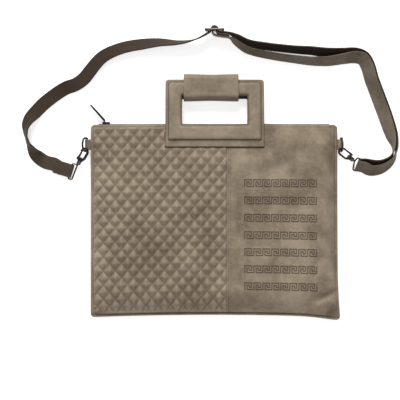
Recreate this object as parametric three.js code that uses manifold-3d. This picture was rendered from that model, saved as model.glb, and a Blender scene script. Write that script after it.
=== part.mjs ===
// A flat zipped leather bag for a prayer shawl, lying on its back with its shoulder strap laid out.
// Millimetres. X is the bag's width, Y its height towards the handles, Z its thickness.
// The origin is the middle of the back, on the surface that the bag lies on.
import * as THREE from 'three';
import { mergeVertices } from 'three/addons/utils/BufferGeometryUtils.js';
import Module from 'manifold-3d';

const wasm = await Module();
wasm.setup();

// Bag body
const bagWidth = 360;
const bagHeight = 281;
const leather = 1.8;
const fit = 0.3;
const rimWidth = 4;
const rimHeight = 5.2;
const frontBelly = 18;
const mouthShare = 0.37;
const sideReach = 45;
const mouthReach = 120;
const mouthLift = 0.45;
const mouthLiftReach = 40;
const hemRise = 3.5;
const cornerOut = 2.5;
const cornerRound = 1.2;

// Front: quilted part on the left, smooth part on the right
const seamX = 20.5;
const diamondWidth = 17.75;
const diamondHeight = 20.7;
const diamondPuff = 2.6;
const smoothColumns = 10;
const panelRows = 16;
const backColumns = 14;

// Handles: a flat padded frame in front and one behind
const handleWidth = 143.6;
const handleHeight = 99;
const handleX = 1;
const handleOverlap = 33;
const handleHoleWidth = 95;
const handleTopBar = 24;
const handleLowBar = 22;
const handleFlange = 10;
const handleMargin = 4;
const handleBase = 2;
const handlePad = 4;
const handleCorner = 5;
const handleLowCorner = 1.3;
const handleHoleCorner = 2;
const handlePadBevel = 1.2;
const frontHandleHold = 30;
const backHandleHold = 40;
const frontHandleZ = 21;
const frontHandleSlope = 0.1;
const backHandleDrop = 4.4;
const backHandleSlope = 0.034;

// Grip sleeve round both top bars
const sleeveLength = 80;
const sleeveReach = 40;
const sleeveX = -4.2;
const sleeveWall = 2;

// Zip along the top edge
const zipEnd = 12;
const zipTape = 0.7;
const zipTapeDepth = 14;
const zipTapeRoom = 1.1;
const zipTapeInset = 1;
const zipSteps = 24;
const zipChainWidth = 4.4;
const zipChainThick = 1.6;
const zipChainCrown = 0.6;
const zipSliderX = 20;
const zipSliderAside = 3;
const zipSliderLength = 11;
const zipPlate = 1.6;
const zipRailSink = 0.9;
const zipRailPast = 0.1;
const zipPostLong = 2.4;
const zipPostThick = 1.2;
const zipPostPast = 0.3;
const zipBridgeRoom = 1.2;
const zipPin = 1.4;
const zipPinEnd = 1;
const zipPinRoom = 0.2;
const zipPullLength = 30;
const zipPullWidth = 7;
const zipPullThick = 2.8;
const zipPullSwell = 0.3;
const zipPullAngle = 132;

// Tabs, D-rings and hooks
const tabWidth = 15.4;
const tabWall = 1.6;
const tabDrop = 29.2;
const tabReach = 5;
const ringWire = 3;
const ringBar = 19;
const ringLeg = 6;
const ringBow = 6.5;
const leftRingLean = 30;
const rightRingLean = 8;
const hookThick = 3.2;
const hookWidth = 13;
const hookLength = 22;
const hookArm = 2.8;
const gateWidth = 2.4;
const pivotPin = 1.6;
const gateRoot = 3.3;
const pivotBack = 2.7;
const pivotIn = 1.5;
const pivotRoom = 1.9;
const cheekDepth = 0.4;
const pinHead = 0.5;
const barrelLength = 5;
const barrelWidth = 6.6;
const studWidth = 3;
const studReach = 1;
const studHeadWidth = 4.4;
const studHeadThick = 1.2;
const hookEnd = 4;
const hookNeck = 6;
const eyeWire = 2.6;
const eyeReach = 7.5;
// How each hook and its strap eye lie, in degrees, and how far the strap's middle is beside the
// hook, in shares of the eye's width
const leftHook = {
  turn: 240, gateSide: -1, drop: 15, eyeTurn: 163, eyeShift: 0.46, eyeLean: -90, run: 1,
};
const rightHook = {
  turn: -37, gateSide: 1, drop: 11, eyeTurn: -17.4, eyeShift: 0.2, eyeLean: -50, run: -1,
};

// Shoulder strap and its slider
const strapWidth = 20;
const strapThick = 2;
const strapSpan = 281;
const eyeDrop = 29.81;
const strapStep = 12;
const lapLength = 24;
const sliderLength = 29;
const sliderWire = 3;
const sliderX = 0.7;
const sliderRise = 138;

const up = new THREE.Vector3(0, 0, 1);
const rad = THREE.MathUtils.degToRad;
const clamp = THREE.MathUtils.clamp;
const lerp = THREE.MathUtils.lerp;
const vec = (x, y, z) => new THREE.Vector3(x, y, z);

// A closed mesh whose faces all point outwards, whichever way round its points were given
function closedMesh(positions, faces) {
  const corner = (k) => vec(...positions.slice(3 * faces[k], 3 * faces[k] + 3));
  let volume = 0;
  for (let k = 0; k < faces.length; k += 3) {
    volume += corner(k).dot(corner(k + 1).cross(corner(k + 2)));
  }
  const geometry = new THREE.BufferGeometry();
  geometry.setAttribute('position', new THREE.Float32BufferAttribute(positions, 3));
  geometry.setIndex(volume < 0 ? faces.reverse() : faces);
  return geometry;
}

// Rings of points, one after the other, become one closed skin: a tube with ends, or a closed loop.
function skin(rings, loop = false) {
  const count = rings[0].length;
  const positions = rings.flat().flatMap((p) => [p.x, p.y, p.z]);
  const faces = [];
  const last = loop ? rings.length : rings.length - 1;
  for (let i = 0; i < last; i += 1) {
    const a = i * count;
    const b = ((i + 1) % rings.length) * count;
    for (let k = 0; k < count; k += 1) {
      const n = (k + 1) % count;
      faces.push(a + k, a + n, b + n, a + k, b + n, b + k);
    }
  }
  if (!loop) {
    const end = (rings.length - 1) * count;
    for (let k = 1; k < count - 1; k += 1) {
      faces.push(0, k + 1, k);
      faces.push(end, end + k, end + k + 1);
    }
  }
  return closedMesh(positions, faces);
}

// A sheet with a wall: outer(x, y) and inner(x, y) give its two faces over the grid of xs and ys.
// odd(i, j) says which diagonal a cell is split by, so that a fold can follow it.
function sheet(xs, ys, outer, inner, odd = () => false) {
  const positions = [];
  const faces = [];
  const rows = ys.length;
  const size = xs.length * rows;
  const at = (i, j) => i * rows + j;
  for (const face of [outer, inner]) {
    xs.forEach((x, i) => ys.forEach((y, j) => {
      const p = face(x, y, i, j);
      positions.push(p.x, p.y, p.z);
    }));
  }
  for (let i = 0; i < xs.length - 1; i += 1) {
    for (let j = 0; j < rows - 1; j += 1) {
      const [a, b, c, d] = [at(i, j), at(i + 1, j), at(i + 1, j + 1), at(i, j + 1)];
      const split = odd(i, j) ? [[a, b, c], [a, c, d]] : [[a, b, d], [b, c, d]];
      for (const [p, q, r] of split) {
        faces.push(p, q, r, size + r, size + q, size + p);
      }
    }
  }
  const border = [];
  for (let i = 0; i < xs.length - 1; i += 1) border.push(at(i, 0));
  for (let j = 0; j < rows - 1; j += 1) border.push(at(xs.length - 1, j));
  for (let i = xs.length - 1; i > 0; i -= 1) border.push(at(i, rows - 1));
  for (let j = rows - 1; j > 0; j -= 1) border.push(at(0, j));
  border.forEach((a, k) => {
    const b = border[(k + 1) % border.length];
    faces.push(a, size + a, size + b, a, size + b, b);
  });
  return closedMesh(positions, faces);
}

function toSolid(geometry) {
  const bare = geometry.clone();
  bare.deleteAttribute('normal');
  bare.deleteAttribute('uv');
  const merged = mergeVertices(bare, 1e-3);
  return new wasm.Manifold(new wasm.Mesh({
    numProp: 3,
    vertProperties: new Float32Array(merged.attributes.position.array),
    triVerts: new Uint32Array(merged.index.array),
  }));
}

function fromSolid(solid) {
  const mesh = solid.getMesh();
  const geometry = new THREE.BufferGeometry();
  geometry.setAttribute('position', new THREE.BufferAttribute(mesh.vertProperties, 3));
  geometry.setIndex(new THREE.BufferAttribute(mesh.triVerts, 1));
  return geometry;
}

const joined = (...shapes) => fromSolid(shapes.map(toSolid).reduce((a, b) => a.add(b)));
const without = (shape, ...cuts) => fromSolid(
  cuts.map(toSolid).reduce((a, b) => a.subtract(b), toSolid(shape)),
);

const evenly = (from, to, count) => Array.from({ length: count + 1 }, (_, k) => lerp(from, to, k / count));

// How far a face has risen a share t of the way in from its edge
const rise = (t) => {
  const s = clamp(t, 0, 1);
  return (2 * s - s * s) ** 0.7;
};
const smooth = (t) => {
  const s = clamp(t, 0, 1);
  return s * s * (3 - 2 * s);
};

// The outline in plan: the hem rises between its corners, the lower right corner stands out,
// and each corner is rounded off
function inPlan(x, y) {
  const u = x / (bagWidth / 2);
  const v = y / (bagHeight / 2);
  const low = (1 - v) / 2;
  const atCorner = Math.abs(u) > 0.999 && Math.abs(v) > 0.999 ? cornerRound : 0;
  return {
    x: x + cornerOut * Math.max(0, u) * low ** 3 - Math.sign(u) * atCorner,
    y: y + hemRise * (1 - u * u) * low - Math.sign(v) * atCorner,
  };
}

const seamZ = rimHeight + leather;
const frontRim = seamZ + fit + leather;
const handleLowY = bagHeight / 2 - handleOverlap;
const frontHandlePlane = (y) => frontHandleZ - frontHandleSlope * (y - handleLowY);
const backHandleThick = handleBase + handlePad;
const backHandleRise = (y) => Math.max(0, backHandleSlope * (y - handleLowY + backHandleDrop));

// Dents and folds of the front: place and reach as shares of the bag's width and height,
// the way the fold runs in degrees, and its depth in shares of the belly
const frontFolds = [
  { across: 0.27, up: 0.29, along: 0.09, wide: 0.035, turn: 40, depth: -0.1 },
  { across: 0.43, up: 0.22, along: 0.07, wide: 0.05, turn: 60, depth: 0.07 },
  { across: 0.455, up: 0.36, along: 0.05, wide: 0.03, turn: 120, depth: -0.09 },
  { across: 0.455, up: -0.40, along: 0.06, wide: 0.018, turn: 50, depth: -0.12 },
  { across: 0.425, up: -0.43, along: 0.05, wide: 0.02, turn: 40, depth: 0.08 },
  { across: 0.12, up: 0.30, along: 0.05, wide: 0.04, turn: 150, depth: -0.06 },
  { across: -0.36, up: 0.31, along: 0.12, wide: 0.06, turn: 20, depth: -0.05 },
  { across: -0.2, up: -0.34, along: 0.12, wide: 0.05, turn: 160, depth: -0.05 },
];

function foldHeight(x, y) {
  let height = 0;
  for (const fold of frontFolds) {
    const dx = x - fold.across * bagWidth;
    const dy = y - fold.up * bagHeight;
    const c = Math.cos(rad(fold.turn));
    const s = Math.sin(rad(fold.turn));
    const p = (dx * c + dy * s) / (fold.along * bagWidth);
    const q = (dy * c - dx * s) / (fold.wide * bagWidth);
    height += fold.depth * frontBelly * Math.exp(-(p * p + q * q));
  }
  return height;
}

// The front's outer face, pressed flat where the front handle is sewn on
function frontFace(x, y) {
  const side = rise((bagWidth / 2 - rimWidth - Math.abs(x)) / sideReach);
  const hem = rise((y + bagHeight / 2 - rimWidth) / sideReach);
  const mouth = rise((bagHeight / 2 - y) / mouthReach);
  const belly = side * hem * (mouthShare + (1 - mouthShare) * mouth);
  const inside = Math.min(side, hem);
  const free = frontRim + frontBelly * belly + foldHeight(x, y) * inside;
  const beside = (Math.abs(x - handleX) - handleWidth / 2) / frontHandleHold;
  const below = (handleLowY - y) / frontHandleHold;
  const pressed = smooth(1 - Math.hypot(Math.max(0, beside), Math.max(0, below)));
  return lerp(free, frontHandlePlane(y) - fit, pressed);
}

// The back's outer face: flat on the ground, up to the seams at its edge, and over the back handle
function backFace(x, y) {
  const side = rise((bagWidth / 2 - rimWidth - Math.abs(x)) / sideReach);
  const hem = rise((y + bagHeight / 2 - rimWidth) / sideReach);
  const free = rimHeight * (1 - Math.min(1, 1.25 * side * hem));
  const over = backHandleThick + fit + backHandleRise(y);
  const beside = (Math.abs(x - handleX) - handleWidth / 2) / backHandleHold;
  const below = (handleLowY - backHandleDrop - y) / backHandleHold;
  const lifted = smooth(1 - Math.hypot(Math.max(0, beside), Math.max(0, below)));
  const atMouth = smooth((y - bagHeight / 2 + mouthLiftReach) / mouthLiftReach);
  return lerp(Math.max(free, mouthLift * rimHeight * atMouth), over, lifted);
}

const left = -bagWidth / 2;
const right = bagWidth / 2;
const bottom = -bagHeight / 2;
const top = bagHeight / 2;

function panel(xs, ys, height, wall, puff = () => 0, odd = undefined) {
  const face = (lift, raised) => (x, y, i, j) => {
    const p = inPlan(x, y);
    return vec(p.x, p.y, height(x, y) + lift + (raised ? puff(i, j) : 0));
  };
  return sheet(xs, ys, face(0, true), face(-wall, false), odd);
}

const panelYs = [
  bottom, bottom + rimWidth, ...evenly(bottom + 2 * rimWidth, top - rimWidth, panelRows), top,
];

// The quilting: each diamond is a pyramid between valleys that cross halfway along its sides
function quiltLines(from, to, pitch) {
  const half = pitch / 2;
  const count = Math.floor((to - from - half / 4) / half);
  const start = (from + to - count * half) / 2;
  return evenly(start, start + count * half, count);
}

function quiltedPanel() {
  const xs = [left, left + rimWidth, ...quiltLines(left + rimWidth, seamX - 2, diamondWidth), seamX];
  const ys = [bottom, bottom + rimWidth,
    ...quiltLines(bottom + rimWidth, top - rimWidth, diamondHeight), top - rimWidth / 2, top];
  const inField = (i, j) => i > 1 && j > 1 && i < xs.length - 1 && j < ys.length - 2;
  const underHandle = (i, j) => Math.abs(xs[i] - handleX) < handleWidth / 2 + 5 && ys[j] > handleLowY - 5;
  const puff = (i, j) => (inField(i, j) && (i + j) % 2 === 0 && !underHandle(i, j) ? diamondPuff : 0);
  return panel(xs, ys, frontFace, leather, puff, (i, j) => (i + j) % 2 !== 0);
}

function smoothPanel() {
  const xs = [seamX + fit, ...evenly(seamX + 2 * rimWidth, right - 2 * rimWidth, smoothColumns),
    right - rimWidth, right];
  return panel(xs, panelYs, frontFace, leather);
}

function backPanel() {
  const xs = [left, left + rimWidth,
    ...evenly(left + 3 * rimWidth, right - 3 * rimWidth, backColumns), right - rimWidth, right];
  return panel(xs, panelYs, backFace, -leather);
}

const colours = {
  leather: 0x877969, quilt: 0x807261, lining: 0x2a211a, strap: 0x6b6053, metal: 0x24211f, tape: 0x6a5c4d,
};
const bag = new THREE.Group();

function add(name, geometry, colour, metalness = 0, roughness = 0.6, parent = bag) {
  const material = new THREE.MeshStandardMaterial({ color: colour, metalness, roughness });
  const mesh = new THREE.Mesh(geometry, material);
  mesh.name = name;
  parent.add(mesh);
  return mesh;
}

add('back_panel', backPanel(), colours.leather);
add('quilted_panel', quiltedPanel(), colours.quilt);
add('smooth_panel', smoothPanel(), colours.leather);

// Handles. Each is drawn flat with its lower edge on y = 0 and its back on z = 0, and then tilted.
function roundedRect(path, x0, y0, x1, y1, r, low = r) {
  path.moveTo(x0 + low, y0);
  path.lineTo(x1 - low, y0);
  path.absarc(x1 - low, y0 + low, low, -Math.PI / 2, 0);
  path.lineTo(x1, y1 - r);
  path.absarc(x1 - r, y1 - r, r, 0, Math.PI / 2);
  path.lineTo(x0 + r, y1);
  path.absarc(x0 + r, y1 - r, r, Math.PI / 2, Math.PI);
  path.lineTo(x0, y0 + r);
  path.absarc(x0 + low, y0 + low, low, Math.PI, Math.PI * 1.5);
  return path;
}

function frame(inset, lowEdge, depth, z) {
  const half = handleWidth / 2 - inset;
  const shape = roundedRect(
    new THREE.Shape(), -half, lowEdge, half, handleHeight - inset, handleCorner, handleLowCorner,
  );
  const lip = inset * 0.25;
  const hole = handleHoleWidth / 2 + lip;
  shape.holes.push(roundedRect(new THREE.Path(), -hole, handleFlange + handleLowBar - lip,
    hole, handleHeight - handleTopBar + lip, handleHoleCorner));
  const bevel = inset > 0 ? handlePadBevel : 0;
  const geometry = new THREE.ExtrudeGeometry(shape, {
    depth: depth - 2 * bevel, curveSegments: 3, bevelEnabled: bevel > 0, bevelSegments: 1,
    bevelSize: bevel, bevelOffset: -bevel, bevelThickness: bevel,
  });
  return geometry.translate(0, 0, z + bevel);
}

function handle(side, place) {
  const group = new THREE.Group();
  place(group);
  bag.add(group);
  const base = frame(0, 0, handleBase, 0);
  const pad = frame(handleMargin, handleFlange, handlePad - fit, handleBase + fit);
  if (side === 'back') {
    base.translate(0, 0, handlePad);
    pad.translate(0, 0, -handleBase - fit);
  }
  add(`${side}_handle_base`, base, colours.leather, 0, 0.6, group);
  add(`${side}_handle_pad`, pad, colours.leather, 0, 0.6, group);
}

handle('front', (group) => {
  group.position.set(handleX, handleLowY, frontHandlePlane(handleLowY));
  group.rotation.x = -Math.atan(frontHandleSlope);
});
handle('back', (group) => {
  group.position.set(handleX, handleLowY - backHandleDrop, 0);
  group.rotation.x = Math.atan(backHandleSlope);
});

// The sleeve: a flattened tube round both top bars, open at both ends.
// Its section, as shares of half its reach, and from under the back bar (0) to over the front one (1)
const sleeveSection = [
  { along: -1, height: 0.35 }, { along: -0.93, height: 0 }, { along: -0.3, height: 0 },
  { along: 0.3, height: 0 }, { along: 0.65, height: 0 }, { along: 0.9, height: 0.2 },
  { along: 1, height: 0.45 }, { along: 0.95, height: 0.75 }, { along: 0.77, height: 1 },
  { along: 0.3, height: 1 }, { along: -0.3, height: 1 }, { along: -0.7, height: 1 },
  { along: -0.92, height: 0.7 },
];
function gripSleeve() {
  const barY = handleLowY + handleHeight - handleTopBar / 2;
  const ringAt = (x, wall) => sleeveSection.map(({ along, height }) => {
    const reach = sleeveReach / 2 - sleeveWall;
    const y = barY + along * reach;
    const low = backHandleRise(y) - fit;
    const high = frontHandlePlane(y) + handleBase + handlePad + fit;
    const z = lerp(low, high, height) + wall * (2 * height - 1);
    return vec(sleeveX + x, barY + along * (reach + wall), z);
  });
  const half = sleeveLength / 2;
  const rings = [[-half, sleeveWall], [half, sleeveWall], [half, 0], [-half, 0]];
  return skin(rings.map(([x, wall]) => ringAt(x, wall)), true);
}
add('grip_sleeve', gripSleeve(), colours.leather);

// Zip: two tapes inside the mouth, the chain along it, and the slider near its left end
const zipHalf = bagWidth / 2 - zipEnd;
const mouthLow = (x) => backFace(x, top) + leather;
const mouthHigh = (x) => frontFace(x, top) - leather;
const zipZ = (x) => (mouthLow(x) + mouthHigh(x)) / 2;
const zipXs = evenly(-zipHalf, zipHalf, zipSteps);

function zipTapeSheet(side) {
  const ys = [top - zipTapeDepth, top - zipTapeDepth / 2, top - zipTapeInset];
  const lower = (x, y) => (side === 'front'
    ? Math.max(frontFace(x, y) - leather - zipTapeRoom - zipTape, zipZ(x) + fit / 2)
    : Math.min(backFace(x, y) + leather + zipTapeRoom, zipZ(x) - fit / 2 - zipTape));
  const face = (lift) => (x, y) => vec(x, inPlan(x, y).y, lower(x, y) + lift);
  return sheet(zipXs, ys, face(zipTape), face(0));
}
add('zip_tape_front', zipTapeSheet('front'), colours.tape, 0, 0.8);
add('zip_tape_back', zipTapeSheet('back'), colours.tape, 0, 0.8);

const chainY = top + fit;
function zipChain() {
  return skin(zipXs.map((x) => {
    const half = zipChainWidth / 2;
    const crown = half * zipChainCrown;
    return [[0, -half], [0, half], [zipChainThick, crown], [zipChainThick, -crown]]
      .map(([y, z]) => vec(x, chainY + y, zipZ(x) + z));
  }));
}
add('zip_chain', zipChain(), colours.tape, 0, 0.7);

const box = (x, y, z) => new THREE.BoxGeometry(x, y, z);
const pivotX = left + zipSliderX;
const bridgeY = chainY + zipChainThick + fit + zipPlate + zipPullThick / 2 + zipBridgeRoom;
const pivotZ = zipZ(pivotX);
function zipSlider() {
  const inner = zipChainWidth / 2 + 2 * fit;
  const plateY = chainY + zipChainThick + fit;
  const plate = box(zipSliderLength, zipPlate, 2 * (inner + zipPlate));
  plate.translate(zipSliderAside, plateY + zipPlate / 2, 0);
  const shapes = [plate];
  for (const s of [-1, 1]) {
    const railLow = plateY - zipChainThick - fit - zipRailPast;
    const railHigh = plateY + zipRailSink;
    const rail = box(zipSliderLength, railHigh - railLow, zipPlate);
    shapes.push(rail.translate(zipSliderAside, (railLow + railHigh) / 2, s * (inner + zipPlate / 2)));
    const post = box(zipPostLong, bridgeY - plateY, zipPostThick);
    const postZ = s * (zipPullWidth / 2 + fit + zipPostThick / 2);
    shapes.push(post.translate(0, (plateY + bridgeY) / 2 + zipPostPast, postZ));
  }
  const pinLength = zipPullWidth + 2 * (fit + zipPinEnd);
  const pin = new THREE.CylinderGeometry(zipPin / 2, zipPin / 2, pinLength, 10);
  shapes.push(pin.rotateX(Math.PI / 2).translate(0, bridgeY, 0));
  return joined(...shapes).translate(pivotX, 0, pivotZ);
}
add('zip_slider', zipSlider(), colours.metal, 0.9, 0.35);

function zipPull() {
  const shape = new THREE.Shape();
  const half = zipPullThick / 2;
  const eye = half + zipPullSwell;
  shape.moveTo(0, eye);
  shape.absarc(0, 0, eye, Math.PI / 2, Math.PI * 1.5);
  shape.lineTo(zipPullLength - half, -half);
  shape.absarc(zipPullLength - half, 0, half, -Math.PI / 2, Math.PI / 2);
  shape.holes.push(new THREE.Path().absarc(0, 0, zipPin / 2 + zipPinRoom, 0, 2 * Math.PI, true));
  return new THREE.ExtrudeGeometry(shape, {
    depth: zipPullWidth, bevelEnabled: false, curveSegments: 5,
  }).translate(0, 0, -zipPullWidth / 2);
}
const pull = add('zip_pull', zipPull(), colours.metal, 0.9, 0.35);
pull.position.set(pivotX, bridgeY, pivotZ);
pull.rotation.z = rad(zipPullAngle);

// Points at equal turns on a ring round a centre, in the plane of two unit directions
const circle = (centre, p, q, radius, sides, from = 0) => Array.from({ length: sides }, (_, k) => {
  const angle = from + (2 * Math.PI * k) / sides;
  return centre.clone().addScaledVector(p, radius * Math.cos(angle))
    .addScaledVector(q, radius * Math.sin(angle));
});

// A closed wire through points, with its round section square to its run
function wireLoop(points, normal, width, sides = 6) {
  const count = points.length;
  return skin(points.map((p, k) => {
    const along = points[(k + 1) % count].clone().sub(points[(k + count - 1) % count]).normalize();
    return circle(p, normal, along.clone().cross(normal).normalize(), width / 2, sides);
  }), true);
}

// A turned piece along +X from x = 0, from rows of [x, radius]
function turned(rows, sides = 12) {
  const outline = [[rows[0][0], 0], ...rows, [rows.at(-1)[0], 0]].map(([x, r]) => new THREE.Vector2(r, x));
  return new THREE.LatheGeometry(outline, sides).rotateZ(-Math.PI / 2);
}

// D-rings and tabs, one at each side seam. out is the way from the bag, lean how far the ring
// stands away from upright. A point on a ring is a place along its bar and a depth from it.
const tabY = bagHeight / 2 - tabDrop;
const ringBarX = bagWidth / 2 + tabReach;
const ringBarZ = seamZ + fit / 2;
function dRing(out, lean) {
  const depth = vec(out * Math.sin(rad(lean)), 0, Math.cos(rad(lean)));
  const at = (along, deep) => vec(out * ringBarX, tabY + along, ringBarZ).addScaledVector(depth, deep);
  const half = ringBar / 2;
  const bow = evenly(0, Math.PI, 8).map((a) => at(half * Math.cos(a), ringLeg + ringBow * Math.sin(a)));
  const points = [...evenly(-half, half, 4).map((along) => at(along, 0)), at(half, ringLeg / 2),
    ...bow, at(-half, ringLeg / 2)];
  const normal = depth.clone().cross(vec(0, 1, 0)).normalize();
  return { at, normal, wire: wireLoop(points, normal, ringWire) };
}

// A leather loop round the ring's bar, its two ends at the seam
function tab(out) {
  const outer = ringWire / 2 + fit + tabWall;
  const inner = ringWire / 2 + fit;
  const end = bagWidth / 2 + fit;
  const shape = new THREE.Shape();
  shape.moveTo(end, -outer);
  shape.lineTo(ringBarX, -outer);
  shape.absarc(ringBarX, 0, outer, -Math.PI / 2, Math.PI / 2);
  shape.lineTo(end, outer);
  shape.lineTo(end, inner);
  shape.lineTo(ringBarX, inner);
  shape.absarc(ringBarX, 0, inner, Math.PI / 2, -Math.PI / 2, true);
  shape.lineTo(end, -inner);
  const loop = new THREE.ExtrudeGeometry(shape, { depth: tabWidth, bevelEnabled: false, curveSegments: 6 });
  loop.translate(0, 0, -tabWidth / 2).rotateX(Math.PI / 2);
  return (out < 0 ? loop.rotateZ(Math.PI) : loop).translate(0, tabY, ringBarZ);
}
const leftRing = dRing(-1, leftRingLean);
const rightRing = dRing(1, rightRingLean);

add('left_tab', tab(-1), colours.leather);
add('right_tab', tab(1), colours.leather);
add('left_d_ring', leftRing.wire, colours.metal, 0.9, 0.35);
add('right_d_ring', rightRing.wire, colours.metal, 0.9, 0.35);

// A trigger hook lies along +X from its nose, flat on z = 0, and its gate closes the +Y side
const nose = ringLeg + hookArm;
const pivot = vec(hookLength - pivotBack, hookWidth / 2 - pivotIn, 0);
const hookHoleEnd = hookLength - hookEnd;
function hookBody() {
  const half = hookWidth / 2;
  const inner = half - hookArm;
  const neck = barrelWidth / 2;
  const shape = new THREE.Shape();
  shape.moveTo(half, half);
  shape.absarc(half, 0, half, Math.PI / 2, Math.PI * 1.5);
  shape.lineTo(hookLength - hookNeck, -half);
  shape.lineTo(hookLength, -neck);
  shape.lineTo(hookLength, half);
  const hole = new THREE.Path().moveTo(half, inner);
  hole.absarc(half, 0, inner, Math.PI / 2, Math.PI * 1.5);
  hole.lineTo(hookHoleEnd - hookArm, -inner);
  hole.lineTo(hookHoleEnd, -inner / 2);
  hole.lineTo(hookHoleEnd, inner);
  shape.holes.push(hole);
  const plate = new THREE.ExtrudeGeometry(shape, {
    depth: hookThick, bevelEnabled: false, curveSegments: 6,
  });
  plate.translate(0, 0, -hookThick / 2);
  const barrel = turned([[hookLength - fit, neck], [hookLength + barrelLength, neck]]);
  const boreRadius = studWidth / 2 + fit;
  const bore = turned([[hookHoleEnd - 1, boreRadius], [hookLength + barrelLength + 1, boreRadius]]);
  const gapEnd = pivot.x - pivotRoom;
  const gap = box(gapEnd - nose, hookArm + 1, hookThick + 2);
  gap.translate((gapEnd + nose) / 2, half - hookArm / 2, 0);
  const cheek = box(hookLength - gapEnd + 2, half, hookThick);
  cheek.translate((hookLength + gapEnd) / 2 + 1, pivot.y - gateWidth + half / 2, hookThick / 2 - cheekDepth);
  const pin = new THREE.CylinderGeometry(pivotPin / 2, pivotPin / 2, hookThick, 8).rotateX(Math.PI / 2);
  const head = new THREE.CylinderGeometry(pivotPin, pivotPin, pinHead, 8).rotateX(Math.PI / 2);
  pin.translate(pivot.x, pivot.y, hookThick / 2 + fit + pinHead / 2 - hookThick / 2);
  head.translate(pivot.x, pivot.y, hookThick / 2 + fit + pinHead / 2);
  return joined(without(joined(without(plate, gap, cheek), barrel), bore), pin, head);
}

function hookGate() {
  const root = gateRoot / 2;
  const half = gateWidth / 2;
  const tip = nose + fit + half - pivot.x;
  const shape = new THREE.Shape();
  shape.moveTo(0, root);
  shape.lineTo(tip, half);
  shape.absarc(tip, 0, half, Math.PI / 2, Math.PI * 1.5);
  shape.lineTo(0, -root);
  shape.absarc(0, 0, root, -Math.PI / 2, Math.PI / 2);
  shape.holes.push(new THREE.Path().absarc(0, 0, pivotPin / 2 + fit, 0, 2 * Math.PI, true));
  const low = fit - cheekDepth;
  return new THREE.ExtrudeGeometry(shape, {
    depth: hookThick / 2 - low, bevelEnabled: false, curveSegments: 9,
  }).translate(0, 0, low);
}

// The level direction at an angle from +X
const level = (angle) => vec(Math.cos(rad(angle)), Math.sin(rad(angle)), 0);

// A hook hangs in its ring's lower corner and points to the strap
function hook(side, ring, setting) {
  const flat = Math.cos(rad(setting.drop));
  const along = level(setting.turn).multiplyScalar(flat).setZ(-Math.sin(rad(setting.drop)));
  const across = ring.normal.clone().addScaledVector(along, -ring.normal.dot(along)).normalize();
  if (up.dot(along.clone().cross(across)) * setting.gateSide < 0) across.negate();
  const held = ring.at(-ringBar / 2, ringLeg * 0.9);
  const reach = hookArm + 2 * fit + ringWire / 2;
  const group = new THREE.Group();
  group.matrix.makeBasis(along, across, along.clone().cross(across));
  group.quaternion.setFromRotationMatrix(group.matrix);
  group.position.copy(held).addScaledVector(along, -reach);
  group.updateMatrix();
  bag.add(group);
  add(`${side}_hook`, hookBody(), colours.metal, 0.9, 0.35, group);
  add(`${side}_gate`, hookGate(), colours.metal, 0.9, 0.35, group).position.copy(pivot);

  const away = level(setting.eyeTurn);
  const bar = strapAcross(away.clone().multiplyScalar(setting.run), setting.eyeLean);
  const studEnd = hookLength + barrelLength + fit + studReach + eyeWire / 2;
  const apex = vec(studEnd, 0, 0).applyMatrix4(group.matrix);
  const aside = setting.eyeShift * (strapWidth + 2 * fit + eyeWire);
  const centre = apex.clone().addScaledVector(away, eyeReach).addScaledVector(bar, -aside);
  const laid = Math.abs(bar.z) * strapWidth / 2;
  const lowest = laid + (1 - Math.abs(bar.z)) * (strapThick + fit + eyeWire / 2) + 0.2;
  centre.z = Math.max(lowest + Math.abs(bar.z) * 3, 0);
  const half = strapWidth / 2 + fit + eyeWire / 2;
  const corners = [apex, ...[[half, eyeReach * 0.76], [half, 0], [-half, 0], [-half, eyeReach * 0.76]]
    .map(([b, n]) => centre.clone().addScaledVector(bar, b).addScaledVector(away, -n))];
  const points = corners.flatMap((p, k) => [corners.at(k - 1), corners[(k + 1) % corners.length]]
    .map((q) => p.clone().addScaledVector(q.clone().sub(p).normalize(), 1)));
  const normal = away.clone().cross(bar).normalize();
  const stud = turned([
    [hookHoleEnd - fit - studHeadThick, studHeadWidth / 2], [hookHoleEnd - fit, studHeadWidth / 2],
    [hookHoleEnd - fit, studWidth / 2], [studEnd, studWidth / 2]], 10).applyMatrix4(group.matrix);
  add(`${side}_eye`, joined(wireLoop(points, normal, eyeWire), stud), colours.metal, 0.9, 0.35);
  return { centre, bar, away };
}

// The strap's width direction where it runs along a level direction and leans from upright,
// to the left of its run where the lean is positive
function strapAcross(along, lean) {
  const side = up.clone().cross(along).normalize();
  return up.clone().multiplyScalar(Math.cos(rad(lean))).addScaledVector(side, Math.sin(rad(lean)));
}

const leftEye = hook('left', leftRing, leftHook);
const rightEye = hook('right', rightRing, rightHook);

// Strap slider, standing on edge: a wire frame with a middle bar
const sliderCentre = vec(sliderX, top + sliderRise, strapWidth / 2 + fit + sliderWire + 0.2);
function strapSlider() {
  const half = sliderLength / 2 - sliderWire / 2;
  const high = strapWidth / 2 + fit + sliderWire / 2;
  const corners = [[-half, -high], [half, -high], [half, high], [-half, high]]
    .map(([x, z]) => vec(x, 0, z));
  const points = corners.flatMap((p, k) => [corners.at(k - 1), corners[(k + 1) % corners.length]]
    .map((q) => p.clone().addScaledVector(q.clone().sub(p).normalize(), 1.5)));
  const middle = new THREE.CylinderGeometry(sliderWire / 2, sliderWire / 2, 2 * high, 8)
    .rotateX(Math.PI / 2);
  const frameWire = wireLoop(points, vec(0, 1, 0), sliderWire, 8);
  return joined(frameWire, middle).translate(sliderCentre.x, sliderCentre.y, sliderCentre.z);
}
add('strap_slider', strapSlider(), colours.metal, 0.9, 0.35);

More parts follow.
